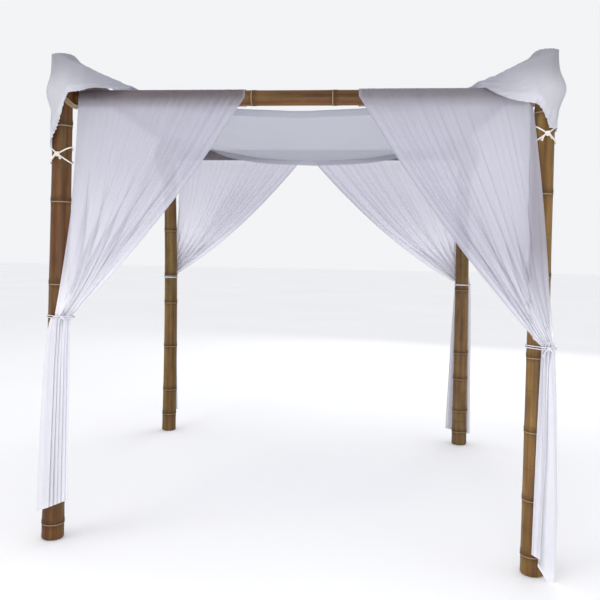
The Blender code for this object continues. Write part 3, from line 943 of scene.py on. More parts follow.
@dataclass(frozen=True)
class Bamboo:
    """The four poles and the four beams."""

    first_beam_node: float = 0.20
    front_spacing: float = 0.41
    back_spacing: float = 0.38
    left_spacing: float = 0.44
    right_spacing: float = 0.36

    def pole(self, corner: Corner, seed: int) -> bpy.types.Object:
        """One pole, its rings level and its foot flat on the floor.

        Args:
            corner: Where it stands.
            seed: Which of many unlike culms it is.

        Returns:
            The pole.
        """
        top = LAYOUT.pole_top(corner)
        bm = Culm(top, POLES[corner].nodes, lambda z: LAYOUT.pole_radius(corner, z), False, seed).mesh()
        for vert in bm.verts:
            centre = LAYOUT.pole_centre(corner, vert.co.z)
            vert.co = centre + Vector((vert.co.x, vert.co.y, 0))
        finish = [POLE_BAMBOO[corner].skin(), POLE_BAMBOO[corner].cut()]
        return dressed(f"bamboo_pole_{corner.label}", bm, finish, Slot.POLE, f"pole_{corner.label}")

    def beam(
        self, beam: Beam, spacing: float, finish: list[bpy.types.Material], seed: int
    ) -> bpy.types.Object:
        """One beam, sawn open at both ends.

        Args:
            beam: Which of the four it is.
            spacing: How far apart its nodes are.
            finish: Its skin and its cut ends.
            seed: Which of many unlike culms it is.

        Returns:
            The beam.
        """
        start, end = LAYOUT.beam_ends(beam)
        length = (end - start).length
        nodes = []
        node = self.first_beam_node
        while node < length - self.first_beam_node:
            nodes.append(node)
            node += spacing
        bm = Culm(length, tuple(nodes), lambda s: LAYOUT.beam_radius, True, seed).mesh()
        turn = (end - start).to_track_quat("Z", "Y").to_matrix().to_4x4()
        bmesh.ops.transform(bm, verts=bm.verts, matrix=Matrix.Translation(start) @ turn)
        return dressed(f"bamboo_beam_{beam.label}", bm, finish, Slot.BEAM, f"beam_{beam.label}")

    def build(self) -> None:
        """Makes all eight culms."""
        for seed, corner in enumerate(Corner):
            self.pole(corner, seed)
        finish = [BEAM_BAMBOO.skin(), BEAM_BAMBOO.cut()]
        spacings = (self.front_spacing, self.back_spacing, self.left_spacing, self.right_spacing)
        for seed, (beam, spacing) in enumerate(zip(Beam, spacings), len(Corner)):
            self.beam(beam, spacing, finish, seed)
        LOG.info("bamboo: %d poles and %d beams", len(Corner), len(Beam))


# Cords and ropes

@dataclass(frozen=True)
class Twist:
    """A laid cord: its radius, its strands and how far it goes for one turn of them."""

    radius: float
    strands: int = 3
    pitch: float = 0.026
    step: float = 0.0028
    sides: int = 3

    @property
    def strand_radius(self) -> float:
        """The radius of one strand, so that they touch and fill the cord."""
        return self.radius / (1 + 1 / math.sin(math.pi / self.strands))

    @property
    def strand_off(self) -> float:
        """How far a strand's middle lies from the cord's."""
        return self.radius - self.strand_radius


@dataclass(frozen=True)
class CordMaker:
    """Lays twisted cords along lines."""

    twist: Twist
    frayed_steps: int = 6
    fray: float = 1.6
    knot_points: int = 60

    @staticmethod
    def even(line: np.ndarray, step: float, closed: bool) -> np.ndarray:
        """The line again with even steps.

        Args:
            line: Points along it.
            step: How far apart they are to be.
            closed: True for a loop.

        Returns:
            The new points.
        """
        if closed:
            line = np.vstack([line, line[:1]])
        lengths = np.concatenate([[0], np.cumsum(np.linalg.norm(np.diff(line, axis=0), axis=1))])
        count = max(4, round(lengths[-1] / step))
        marks = np.linspace(0, lengths[-1], count, endpoint=not closed)
        return np.stack([np.interp(marks, lengths, line[:, axis]) for axis in range(3)], axis=1)

    def strands(self, line: np.ndarray, closed: bool = False, frayed: bool = False) -> list[np.ndarray]:
        """The middles of the strands of a cord along a line.

        Args:
            line: Points along the cord's middle.
            closed: True for a loop.
            frayed: True if its end comes apart.

        Returns:
            One line for each strand.
        """
        twist = self.twist
        line = self.even(line, twist.step, closed)
        if closed:
            along = np.roll(line, -1, axis=0) - np.roll(line, 1, axis=0)
        else:
            along = np.gradient(line, axis=0)
        along /= np.linalg.norm(along, axis=1, keepdims=True)
        side = np.cross(along, (0.0, 0.0, 1.0))
        weak = np.linalg.norm(side, axis=1) < 0.2
        side[weak] = np.cross(along[weak], (0.0, 1.0, 0.0))
        side /= np.linalg.norm(side, axis=1, keepdims=True)
        up = np.cross(side, along)
        count = len(line)
        turns = max(1, round(count * twist.step / twist.pitch))
        angle = 2 * math.pi * turns * np.arange(count) / (count if closed else count - 1)
        off = np.full(count, twist.strand_off)
        if frayed:
            off *= 1 + self.fray * eased(np.arange(count), count - self.frayed_steps, count - 1)
        made = []
        for strand in range(twist.strands):
            phase = angle + 2 * math.pi * strand / twist.strands
            made.append(line + off[:, None] * (np.cos(phase)[:, None] * side + np.sin(phase)[:, None] * up))
        return made

    def mesh(self, lines: list[tuple[np.ndarray, bool, bool]]) -> bpy.types.Mesh:
        """All the strands of several cords as one mesh.

        Args:
            lines: Each cord's points, whether it is a loop, and whether its end is frayed.

        Returns:
            The mesh, in place.
        """
        curve = bpy.data.curves.new("strands", "CURVE")
        curve.dimensions = "3D"
        curve.bevel_depth = self.twist.strand_radius
        curve.bevel_resolution = self.twist.sides - 1
        curve.use_fill_caps = True
        for line, closed, frayed in lines:
            for strand in self.strands(line, closed, frayed):
                spline = curve.splines.new("POLY")
                spline.points.add(len(strand) - 1)
                spline.points.foreach_set("co", np.hstack([strand, np.ones((len(strand), 1))]).ravel())
                spline.use_cyclic_u = closed
        holder = bpy.data.objects.new("strands", curve)
        bpy.context.scene.collection.objects.link(holder)
        made = bpy.data.meshes.new_from_object(holder.evaluated_get(bpy.context.evaluated_depsgraph_get()))
        bpy.data.objects.remove(holder)
        bpy.data.curves.remove(curve)
        return made

    def knot(self, centre: Vector, size: float, facing: Vector) -> np.ndarray:
        """A small overhand knot.

        Args:
            centre: Its middle.
            size: Half its width.
            facing: The way that it faces.

        Returns:
            Points along the closed cord of the knot.
        """
        t = np.linspace(0, 2 * math.pi, self.knot_points, endpoint=False)
        across = np.sin(t) + 2 * np.sin(2 * t)
        upward = np.cos(t) - 2 * np.cos(2 * t)
        flat = np.stack([across, upward, -np.sin(3 * t)], axis=1)
        turn = np.array(facing.to_track_quat("Z", "Y").to_matrix())
        return flat * (size / 3) @ turn.T + np.array(centre)


@dataclass(frozen=True)
class Ties:
    """The white cords: one round each roof corner, crossed, and one round each gathered curtain.

    The loose ends have each a sway and a share of the ends' length.
    """

    cord: Twist = Twist(0.004)
    thin_cord: Twist = Twist(0.0028)
    cross_height: float = 0.040
    cross_slack: float = 0.0012
    ring: float = 1.012
    loop_points: int = 90
    knot_size: float = 0.011
    thin_knot_size: float = 0.0088
    turn_heights: tuple[float, float] = (-0.0034, 0.0034)
    turn_sway: float = 0.002
    end_length: float = 0.036
    ends: tuple[tuple[float, float], ...] = ((-0.020, 1.0), (0.013, 0.72))
    end_points: int = 14

    def _knotted(self, maker: CordMaker, size: float, knot: Vector, outward: int) -> list[tuple]:
        """A knot that faces outwards, and the two short loose ends that droop from it.

        Args:
            maker: The maker of its cord.
            size: Half the knot's width.
            knot: The knot's middle.
            outward: The way out along Y.

        Returns:
            Their lines, as the maker takes them.
        """
        lines = [(maker.knot(knot, size, Vector((0, outward, 0))), True, False)]
        t = np.linspace(0, 1, self.end_points)[:, None]
        for sway, share in self.ends:
            out = np.array([sway, outward * 0.007, 0])
            fall = np.array([sway * 0.5, outward * 0.002, -self.end_length * share])
            lines.append((np.array(knot) + out * np.sqrt(t) + fall * t ** 1.4, False, True))
        return lines

    def corner_tie(self, corner: Corner, finish: list[bpy.types.Material]) -> bpy.types.Object:
        """Two loops that cross in front of the pole, a knot where they cross, and its ends.

        Args:
            corner: The roof's corner.
            finish: The cord's material.

        Returns:
            The tie.
        """
        z = POLES[corner].tie_height
        lines = []
        for lean in (-1, 1):
            points = []
            for a in np.linspace(0, 2 * math.pi, self.loop_points, endpoint=False):
                level = z + lean * self.cross_height * math.sin(a)
                centre = LAYOUT.pole_centre(corner, level)
                reach = LAYOUT.pole_radius(corner, level) * self.ring + self.cord.radius + self.cross_slack
                if lean > 0:
                    reach += 2 * self.cord.radius * max(0.0, math.cos(a)) ** 12
                y = centre.y + corner.sign_y * reach * math.cos(a)
                points.append((centre.x + reach * math.sin(a), y, level))
            lines.append((np.array(points), True, False))
        centre = LAYOUT.pole_centre(corner, z)
        reach = LAYOUT.pole_radius(corner, z) + 4 * self.cord.radius
        knot = Vector((centre.x, centre.y + corner.sign_y * reach, z))
        maker = CordMaker(self.cord)
        lines += self._knotted(maker, self.knot_size, knot, corner.sign_y)
        name = f"corner_tie_{corner.label}"
        return dressed(f"crossed_{name}", maker.mesh(lines), finish, Slot.CORD, name)

    def curtain_tie(
        self, corner: Corner, tied: "Curtain", finish: list[bpy.types.Material]
    ) -> bpy.types.Object:
        """Two turns round the pole and the gathered curtain, with a knot and its ends.

        Args:
            corner: The curtain's corner.
            tied: The curtain.
            finish: The cord's material.

        Returns:
            The tie.
        """
        outline, knot_xy = tied.tie_outline(self.thin_cord.radius)
        around = np.linspace(0, 2 * math.pi, len(outline), endpoint=False)
        lines = []
        for level in self.turn_heights:
            heights = tied.tie + level + self.turn_sway * np.sin(around + level * 400)
            lines.append((np.hstack([outline, heights[:, None]]), True, False))
        maker = CordMaker(self.thin_cord)
        lines += self._knotted(maker, self.thin_knot_size, Vector((*knot_xy, tied.tie)), corner.sign_y)
        name = f"curtain_tie_{corner.label}"
        return dressed(f"knotted_{name}", maker.mesh(lines), finish, Slot.CORD, name)

    def build(self, curtains: dict[Corner, "Curtain"]) -> None:
        """Makes all eight ties.

        Args:
            curtains: The curtains by corner.
        """
        white, muted = [COTTON.yarn()], [MUTED_COTTON.yarn()]
        for corner in Corner:
            self.corner_tie(corner, white)
            self.curtain_tie(corner, curtains[corner], muted)
        LOG.info("ties: %d at the roof's corners, %d round the curtains", len(Corner), len(Corner))


@dataclass(frozen=True)
class Lashings:
    """The rope that binds each pole to its two beams: crossed turns, the second way over the first."""

    rope: Twist = Twist(0.0042, pitch=0.024, step=0.0043)
    turns: int = 3
    spacing: float = 0.0086
    ways: tuple[tuple[int, float], ...] = ((1, 0.0006), (-1, 0.0022))
    bend_points: int = 20

    def _hoop(self, pole: Vector, beam: Vector, diagonal: Vector, aside: float, out: float) -> np.ndarray:
        """One turn of rope, slantwise round a pole and the beam against it.

        Args:
            pole: The pole's middle at the crossing.
            beam: The beam's middle there.
            diagonal: The way that the turn slants.
            aside: How far it lies from the middle of the lashing.
            out: How far it lies off the bamboo, beyond its own radius.

        Returns:
            Points along the rope's middle, in a loop.
        """
        apart = beam - pole
        apart = (apart - apart.project(diagonal)).normalized()
        across = apart.cross(diagonal).normalized() * aside
        over = self.rope.radius + out
        points = []
        for centre, radius, way in ((beam, LAYOUT.beam_radius, 1), (pole, LAYOUT.pole_top_radius, -1)):
            for a in np.linspace(0, math.pi, self.bend_points):
                outward = apart * math.sin(a) * (radius + over)
                slanting = diagonal * math.cos(a) * (radius * math.sqrt(2) + over)
                points.append(centre + way * (outward + slanting) + across)
        return np.array([list(point) for point in points])

    def lashing(self, corner: Corner, finish: list[bpy.types.Material]) -> bpy.types.Object:
        """Crossed turns round the pole and each of its beams.

        Args:
            corner: The pole's corner.
            finish: The rope's material.

        Returns:
            The lashing.
        """
        lines = []
        for crosswise in (True, False):
            beam = LAYOUT.crossing(corner, crosswise)
            pole = LAYOUT.pole_centre(corner, beam.z)
            level = Vector((corner.sign_x, 0, 0)) if crosswise else Vector((0, corner.sign_y, 0))
            for slant, out in self.ways:
                diagonal = (level * slant + Vector((0, 0, 1))).normalized()
                for i in range(self.turns):
                    aside = (i - (self.turns - 1) / 2) * self.spacing
                    lines.append((self._hoop(pole, beam, diagonal, aside, out), True, False))
        name = f"lashing_{corner.label}"
        return dressed(f"rope_{name}", CordMaker(self.rope).mesh(lines), finish, Slot.ROPE, name)

    def build(self) -> None:
        """Makes all four lashings."""
        finish = [HEMP.yarn()]
        for corner in Corner:
            self.lashing(corner, finish)
        LOG.info("lashings: %d", len(Corner))


# The roof cloth

@dataclass(frozen=True)
class EdgePoint:
    """A point of the cloth's edge.

    Its fall begins over rim and its hem hangs at hem, rise above the beams. A rise of None hangs free, a
    hem's width below where the fall begins. The swell is how far the fall stands out where the beams' ends
    push it.
    """

    rim: tuple[float, float]
    hem: tuple[float, float]
    rise: float | None
    swell: float = 0.0


# Between the ears the cloth is tucked in behind the beams
TUCKED = tuple(EdgePoint((1.052, along), (1.052, along), None) for along in (0.0, 0.40, 0.70))
# From the middle of a side edge to its corner, across the beam and then along it
SIDE_EDGE = (
    *TUCKED,
    EdgePoint((1.057, 0.82), (1.060, 0.82), 0.115),
    EdgePoint((1.095, 0.89), (1.098, 0.89), 0.145),
    EdgePoint((1.145, 0.94), (1.152, 0.935), 0.135),
    EdgePoint((1.175, 0.985), (1.190, 0.97), 0.085),
    EdgePoint((1.215, 1.05), (1.250, 1.03), 0.045, 0.006),
    EdgePoint((1.244, 1.110), (1.284, 1.09), -0.06, 0.012),
    EdgePoint((1.248, 1.140), (1.272, 1.13), -0.14, 0.026),
    EdgePoint((1.250, 1.170), (1.258, 1.170), -0.20, 0.034),
)
# The same for a front or back edge
FRONT_EDGE = (
    *TUCKED,
    EdgePoint((1.057, 0.82), (1.057, 0.82), 0.026),
    EdgePoint((1.100, 0.88), (1.100, 0.88), 0.047),
    EdgePoint((1.125, 0.905), (1.127, 0.903), 0.050),
    EdgePoint((1.145, 0.93), (1.150, 0.925), 0.041),
    EdgePoint((1.185, 0.985), (1.195, 0.970), 0.034),
    EdgePoint((1.230, 1.040), (1.250, 1.030), 0.026),
    EdgePoint((1.264, 1.080), (1.284, 1.085), 0.006),
    EdgePoint((1.268, 1.125), (1.290, 1.135), -0.003),
    EdgePoint((1.270, 1.175), (1.272, 1.188), -0.128, 0.014),
    EdgePoint((1.268, 1.200), (1.266, 1.208), -0.178, 0.020),
    EdgePoint((1.250, 1.236), (1.248, 1.240), -0.235, 0.022),
)


@dataclass(frozen=True)
class RoofCloth:
    """One square of voile over the four pole tops, tied at its corners and tucked inside the beams between.

    The ear gives the cloth's height over the beams at distances from a pole's middle. The cloth is lifted
    over the side beams, up to side_carry. A corner in lowered has a lower front or back hem between
    lowered_from and lowered_to, and one in more_swell stands out further.
    """

    ear: tuple[tuple[float, float], ...] = (
        (0.0, 0.1965), (0.05, 0.1965), (0.09, 0.160), (0.15, 0.127), (0.20, 0.104), (0.25, 0.087),
        (0.34, 0.061), (0.43, 0.038), (0.60, 0.0), (0.80, -0.034), (0.96, -0.053), (1.15, -0.066),
        (1.40, -0.072),
    )
    level_within: float = 0.5
    side_lift: float = 0.098
    side_carry: float = 0.132
    side_lift_width: float = 0.12
    side_lift_shift: float = 0.14
    side_lift_shift_from: tuple[float, float] = (0.95, 1.04)
    side_edge: tuple[EdgePoint, ...] = SIDE_EDGE
    front_edge: tuple[EdgePoint, ...] = FRONT_EDGE
    tip: EdgePoint = EdgePoint((1.252, 1.212), (1.245, 1.230), -0.28, 0.030)
    lowered: dict[Corner, float] = field(default_factory=lambda: {Corner.FRONT_RIGHT: 0.066})
    lowered_from: tuple[float, float] = (0.905, 1.03)
    lowered_to: tuple[float, float] = (1.135, 1.20)
    more_swell: dict[Corner, float] = field(
        default_factory=lambda: {Corner.FRONT_RIGHT: 0.014, Corner.BACK_RIGHT: 0.014}
    )
    hem_drop: float = 0.038
    least_drop: float = 0.006
    swell_at: float = 0.01
    swell_height: float = 0.075
    fall_out_by: float = 0.62
    tip_above_tie: float = 0.012
    above_tip: float = 0.012
    top_rings: int = 84
    fall_rings: int = 18
    hem_rings: int = 4
    fall_share: float = 0.16
    cut_side: float = 2.84
    smoothings: int = 60
    fan_out: tuple[float, float] = (0.045, 0.05)
    fan_below_beam: float = 0.02
    fan_folds: float = 36.0
    fan_depth: float = 0.0095
    pulls: float = 20.0
    pull_depth: float = 0.0032
    slack_depths: tuple[float, float] = (0.010, 0.0035)

    def rise(self, p: np.ndarray, q: np.ndarray) -> np.ndarray:
        """The cloth's height over the beams' centre line.

        Args:
            p: The nominal distance from the middle plane that runs front to back.
            q: The nominal distance from the one that runs left to right.

        Returns:
            The height: greatest over the pole, lifted over the side beam, lowest in the middle.
        """
        half = LAYOUT.half_spacing
        distance = np.hypot(half - self._rounded(p), half - self._rounded(q))
        rise = smooth_through(distance, *np.transpose(self.ear))[..., 0]
        shift = self.side_lift_shift * eased(p, *self.side_lift_shift_from)
        aside = eased(p - q + shift, 0, self.side_lift_width)
        return rise + aside * np.clip(self.side_carry - rise, 0, self.side_lift * (p / half) ** 2)

    def _rounded(self, offset: np.ndarray) -> np.ndarray:
        """An offset from the middle plane, levelled off near it so that the cloth has no crease there.

        Args:
            offset: The distance from the plane.

        Returns:
            The distance that the cloth's height is read at.
        """
        near = np.minimum(offset, self.level_within)
        curve = near ** 2 / (2 * self.level_within)
        return np.maximum(offset, self.level_within) - self.level_within / 2 + curve

    def _edge(self, corner: Corner, crosswise: bool) -> tuple[np.ndarray, np.ndarray]:
        """Half an edge of the cloth, from its middle to its corner.

        Args:
            corner: The corner that it runs to.
            crosswise: True for a front or back edge.

        Returns:
            Distances along the hem, and a row each of rim place, hem place, rim and hem heights, and swell.
        """
        points = [*(self.front_edge if crosswise else self.side_edge), self.tip]
        tip_rise = POLES[corner].tie_height + self.tip_above_tie - LAYOUT.beam_centre(POLES[corner].at[0])
        rows = []
        for point in points:
            swap = crosswise and point is not self.tip
            rim, hem = (xy[::-1] if swap else xy for xy in (point.rim, point.hem))
            top = float(self.rise(np.array(rim[0]), np.array(rim[1])))
            rise = top - self.hem_drop if point.rise is None else min(point.rise, top - self.least_drop)
            if crosswise:
                low = float(eased(hem[0], *self.lowered_from) * (1 - eased(hem[0], *self.lowered_to)))
                rise -= self.lowered.get(corner, 0) * low
            rise = tip_rise if point is self.tip else max(rise, tip_rise + self.above_tip)
            swell = point.swell + self.more_swell.get(corner, 0) * (point.swell > 0)
            rows.append((*rim, *hem, top, rise, swell))
        rows = np.array(rows)
        steps = np.linalg.norm(np.diff(rows[:, [2, 3, 5]], axis=0), axis=1)
        return np.concatenate([[0], np.cumsum(steps)]), rows

    def _sector(self, corner: Corner, crosswise: bool, shares: np.ndarray, rings: np.ndarray) -> np.ndarray:
        """Places of one eighth of the cloth.

        Args:
            corner: The corner that it runs to.
            crosswise: True for the half of the quarter that lies at the front or back edge.
            shares: From 0 at the middle of the edge to 1 at the corner, for each point.
            rings: From 0 at the cloth's middle through 1 at the rim to the end of the fall, for each point.

        Returns:
            The points.
        """
        marks, rows = self._edge(corner, crosswise)
        at = smooth_through(shares * marks[-1], marks, rows)
        rim, hem, top, low, swell = at[..., 0:2], at[..., 2:4], at[..., 4], at[..., 5], at[..., 6]
        plan = rim * np.minimum(rings, 1)[..., None]
        rise = self.rise(plan[..., 0], plan[..., 1])
        fall = np.clip((rings - 1) / self.fall_share, 0, 1)
        falling = rings > 1
        rise = np.where(falling, top + (low - top) * fall, rise)
        out = hem - LAYOUT.half_spacing
        out /= np.maximum(np.linalg.norm(out, axis=-1, keepdims=True), 1e-6)
        pushed = swell * np.exp(-(((rise - self.swell_at) / self.swell_height) ** 2)) * falling
        plan = plan + (hem - rim) * eased(fall, 0.0, self.fall_out_by)[..., None] + out * pushed[..., None]
        real = plan * np.array([corner.sign_x, corner.sign_y])
        return LAYOUT.placed(real, rise)

    def points(self) -> tuple[np.ndarray, np.ndarray, np.ndarray, np.ndarray]:
        """The whole cloth.

        Returns:
            Its points as rows of columns, their places on the flat cloth, and where it is hemmed and bunched.
        """
        reach = self.top_rings + self.fall_rings
        steps = np.arange(-reach, reach + 1)
        shaped = np.sign(steps) * self._ring(np.abs(steps))
        a, b = np.meshgrid(shaped, shaped)
        ring = np.maximum(np.abs(a), np.abs(b))
        along = np.minimum(np.abs(a), np.abs(b)) / np.maximum(ring, 1e-9)
        share = self._spread(along)
        points = np.zeros((*a.shape, 3))
        for corner in Corner:
            for crosswise in (True, False):
                mine = (a * corner.sign_x >= 0) & (b * corner.sign_y >= 0)
                mine &= (np.abs(b) >= np.abs(a)) if crosswise else (np.abs(a) > np.abs(b))
                points[mine] = self._sector(corner, crosswise, share[mine], ring[mine])
        points = self._relaxed(points, ring)
        points = self._pleated(points, ring)
        half = self.cut_side / 2
        flat = np.stack([a, b], axis=-1) / (1 + self.fall_share) * half + half
        hem_from = 1 + self.fall_share * (1 - self.hem_rings / self.fall_rings)
        hemmed = eased(ring, hem_from - 0.01, hem_from + 0.01)
        layers = 0.45 * eased(ring, 0.99, 1.05) * eased(self.drop_of(points), -0.30, -0.10)
        layers *= eased(along, 0.55, 0.80)
        hemmed = hemmed * eased(along, 0.45, 0.70)
        return points, flat, hemmed, layers

    @staticmethod
    def drop_of(points: np.ndarray) -> np.ndarray:
        """How far the points hang below a level 0.1 under the beams, less than nothing above it."""
        return LAYOUT.beam_height - points[..., 2] - 0.1

    def _ring(self, step: np.ndarray) -> np.ndarray:
        """The ring at a step from the middle: closer together towards the rim, and even down the fall.

        Args:
            step: Rows or columns from the middle.

        Returns:
            0 at the middle, 1 at the rim, and more down the fall.
        """
        top = np.clip(step / self.top_rings, 0, 1)
        top = 1 - (1 - top) ** 1.35
        return top + self.fall_share * np.clip((step - self.top_rings) / self.fall_rings, 0, 1)

    @staticmethod
    def _spread(along: np.ndarray) -> np.ndarray:
        """Where along the edge's length a share of the cloth's side lies, closer together at the corner."""
        return 1 - (1 - along) ** 1.25

    def _relaxed(self, points: np.ndarray, ring: np.ndarray) -> np.ndarray:
        """Smooths the creases where the quarters meet, well inside the rim.

        Args:
            points: The cloth.
            ring: How far out each point is, 1 at the rim.

        Returns:
            The smoothed cloth.
        """
        weight = (1 - eased(ring, 0.55, 0.85))[..., None]
        heights = points.copy()
        for _ in range(self.smoothings):
            inner = heights.copy()
            inner[1:-1, 1:-1, 2] = (
                heights[:-2, 1:-1, 2] + heights[2:, 1:-1, 2] + heights[1:-1, :-2, 2] + heights[1:-1, 2:, 2]
            ) / 4
            heights = heights + (inner - heights) * weight
        return heights

    def _pleated(self, points: np.ndarray, ring: np.ndarray) -> np.ndarray:
        """Adds the folds that fan out from each tied corner, the pulls to the pole tops, and soft waves.

        Args:
            points: The smooth cloth.
            ring: How far out each point is, 1 at the rim.

        Returns:
            The cloth with its folds.
        """
        normals = normals_of(points)
        away = np.zeros(points.shape[:2])
        for corner in Corner:
            out = Vector((corner.sign_x * self.fan_out[0], corner.sign_y * self.fan_out[1], 0))
            beam = LAYOUT.beam_centre(POLES[corner].at[0])
            fan_from = LAYOUT.pole_centre(corner, beam - self.fan_below_beam) + out
            offset = points - np.array(fan_from)
            distance = np.linalg.norm(offset, axis=-1)
            climb = np.arctan2(offset[..., 2], np.hypot(offset[..., 0], offset[..., 1]))
            fan = np.sin(self.fan_folds * climb + 1.2 * rippled(offset[..., 0] * 5, offset[..., 1] * 5, 3.0))
            strong = eased(distance, 0.05, 0.14) * (1 - eased(distance, 0.30, 0.62))
            strong *= eased(ring, 0.80, 0.94) * (1 - 0.8 * eased(climb, 0.12, 0.45))
            away += self.fan_depth * np.abs(fan) ** 1.5 * strong
            plan = points - np.array(LAYOUT.pole_centre(corner, LAYOUT.pole_top(corner)))
            bearing = np.arctan2(plan[..., 1], plan[..., 0])
            reach = np.hypot(plan[..., 0], plan[..., 1])
            wander = 2.0 * rippled(plan[..., 0] * 3, plan[..., 1] * 3, 8.0)
            pull = 0.5 + 0.5 * np.sin(self.pulls * bearing + wander)
            away += self.pull_depth * pull * eased(reach, 0.09, 0.26) * (1 - eased(reach, 0.45, 1.1))
        slack = np.zeros_like(away)
        for depth, fineness, seed in zip(self.slack_depths, (2.3, 6.5), (1.0, 2.0)):
            slack += depth * rippled(points[..., 0] * fineness, points[..., 1] * fineness, seed)
        away += slack * (1 - eased(ring, 0.70, 0.92))
        return points + normals * away[..., None]

    def build(self) -> bpy.types.Object:
        """Returns:
            The cloth.
        """
        points, flat, hemmed, layers = self.points()
        bm = sheet_of(points, flat, hemmed=hemmed, layers=layers)
        bmesh.ops.reverse_faces(bm, faces=bm.faces)
        cloth = dressed("roof_voile", bm, [ROOF_VOILE_WITH_PAINTED_SHADE.cloth()], Slot.ROOF, "roof_cloth")
        LOG.info("roof cloth: %d faces", len(cloth.data.polygons))
        return cloth


# The curtains

@dataclass(frozen=True)
class Curtain:
    """One curtain: a pocket over the beam, a sweep across to the pole, a tie, and a tail.

    The two numbers of gather, tail and hem are for the curtain's outer edge and its inner one. The sag is
    how far the inner edge hangs below a straight line, and the slack how far the outer edge bows inwards.
    The outer corner of the hem may be lifted. The layers that the finish shows are on_beam over the beam, and
    layered in the lower sweep and just above the tie; as they rise down the cloth, its colour goes from grey
    to white, partly as painted light and shade: the grey stands in for the roof's shade over the upper
    curtain, and the white makes up for the shade between the gathered folds. The outer edge is made thinner
    by selvage, and its colour is lightened there as painted light. Pleats cover a share of the width each, in
    the sweep and the tail. The depths in millimetres are those of the folds at places down the cloth, from
    its seam to its hem.
    """

    corner: Corner
    outer: float
    inner: float
    gather: tuple[float, float]
    tie: float
    tail: tuple[float, float]
    hem: tuple[float, float]
    sag: float
    slack: float
    seed: float
    lifted: float = 0.0
    depth: float = 1.0
    tail_power: float = 0.6
    folds: int = 21
    on_beam: float = -1.1
    # Layers in the lower sweep and at the tie; the whiter colour they give is partly painted light.
    gathered_layers_and_painted_light: tuple[float, float] = (0.55, 1.0)
    # The outer edge is thinner and lets more through; through hem_painted_shade its colour is also lightened,
    # as painted light.
    selvage_and_painted_light: float = -0.35
    foot_share: float = 0.6
    pleats: int = 6
    pleat_cover: tuple[float, float] = (0.42, 0.42)
    pleat_depth: float = 0.028
    pleats_from: tuple[float, float] = (0.25, 0.95)
    columns: int = 256
    pocket_rows: int = 22
    sweep_rows: int = 84
    tail_rows: int = 56
    fullness: float = 1.005
    edge_hems: tuple[float, float] = (0.034, 0.012)
    foot_hem: float = 0.03
    sweep_inward: float = 0.8
    lifted_share: float = 0.10
    gathered_depth: float = 0.036
    tail_depth: float = 0.044
    neck: float = 0.009
    clear_at_tie: float = 0.001
    clear_at_tail: float = 0.006
    clear_at_sweep: float = 0.012
    off_sleeve: float = 0.0015
    fine_depth_mm: tuple[float, ...] = (0.8, 1.2, 3.4, 5.2, 4.6, 3.0, 3.0, 1.8, 1.0, 0.8)
    mid_depth_mm: tuple[float, ...] = (0.0, 0.6, 2.6, 4.8, 4.2, 2.6, 2.6, 2.0, 1.6, 1.6)
    broad_depth: float = 0.012
    unevenness: float = 0.60
    sway: float = 0.5
    rounding: float = 0.012
    ring_points: int = 40
    bend_points: int = 6

    @property
    def outward(self) -> int:
        """The way out of the canopy along Y."""
        return self.corner.sign_y

    def bundle_line(self, z: np.ndarray, depth: float, clear: float) -> np.ndarray:
        """Where along Y a gathered curtain's middle lies outside its pole, at each height.

        Args:
            z: Heights above the floor.
            depth: How thick the gathered cloth is.
            clear: How far it stands off the pole.

        Returns:
            Places along Y, in an array of the heights' shape.
        """
        flat = np.asarray(z, float).ravel()
        made = []
        for height in flat:
            reach = LAYOUT.pole_radius(self.corner, height) * LAYOUT.ridge + clear + depth / 2
            made.append(LAYOUT.pole_centre(self.corner, height).y + self.outward * reach)
        return np.array(made).reshape(np.shape(z))

    def _pocket(self, u: np.ndarray) -> np.ndarray:
        """Rows round the beam: from the seam just under it, up its inner side, over it and down its face.

        Args:
            u: The columns' shares across the cloth, 0 at its outer edge.

        Returns:
            The rows.
        """
        start, end = LAYOUT.beam_ends(Beam.across(self.corner))
        x = self.outer + (self.inner - self.outer) * u
        share = (x - start.x) / (end.x - start.x)
        y = start.y + (end.y - start.y) * share
        axis = np.stack([x, y, start.z + (end.z - start.z) * share], axis=-1)
        angles = np.radians(np.linspace(262, 0, self.pocket_rows, endpoint=False))
        radius = LAYOUT.sleeve_radius + self.off_sleeve
        rows = []
        for angle in angles:
            lift = np.array([0, self.outward * math.cos(angle), math.sin(angle)])
            rows.append(axis + lift * radius)
        return np.array(rows)

    def _hang(self, u: np.ndarray) -> np.ndarray:
        """The top row of the sweep, at the beam's outer face.

        Args:
            u: The columns' shares across the cloth, 0 at its outer edge.

        Returns:
            The row.
        """
        start, end = LAYOUT.beam_ends(Beam.across(self.corner))
        x = self.outer + (self.inner - self.outer) * u
        share = (x - start.x) / (end.x - start.x)
        y = start.y + (end.y - start.y) * share + self.outward * (LAYOUT.sleeve_radius + self.off_sleeve)
        return np.stack([x, y, start.z + (end.z - start.z) * share], axis=-1)

    def _gather(self, u: np.ndarray) -> np.ndarray:
        """The gathered cloth just above its tie.

        Args:
            u: The columns' shares across the cloth, 0 at its outer edge.

        Returns:
            The row.
        """
        z = np.full_like(u, self.tie + self.neck)
        x = self.gather[0] + (self.gather[1] - self.gather[0]) * u
        return np.stack([x, self.bundle_line(z, self.gathered_depth, self.clear_at_tie), z], axis=-1)

    def _outside_pole(self, row: np.ndarray, depth: float) -> np.ndarray:
        """Moves points of a row out to the pole's round face where they would pass through it.

        Args:
            row: The points, which are moved in place.
            depth: How thick the cloth is there.

        Returns:
            The same row.
        """
        for point in row:
            centre = LAYOUT.pole_centre(self.corner, point[2])
            reach = LAYOUT.pole_radius(self.corner, point[2]) * LAYOUT.ridge + self.clear_at_sweep
            aside = abs(point[0] - centre.x)
            if aside < reach:
                face = centre.y + self.outward * (math.sqrt(reach * reach - aside * aside) + depth / 2)
                if self.outward * (face - point[1]) > 0:
                    point[1] = face
        return row

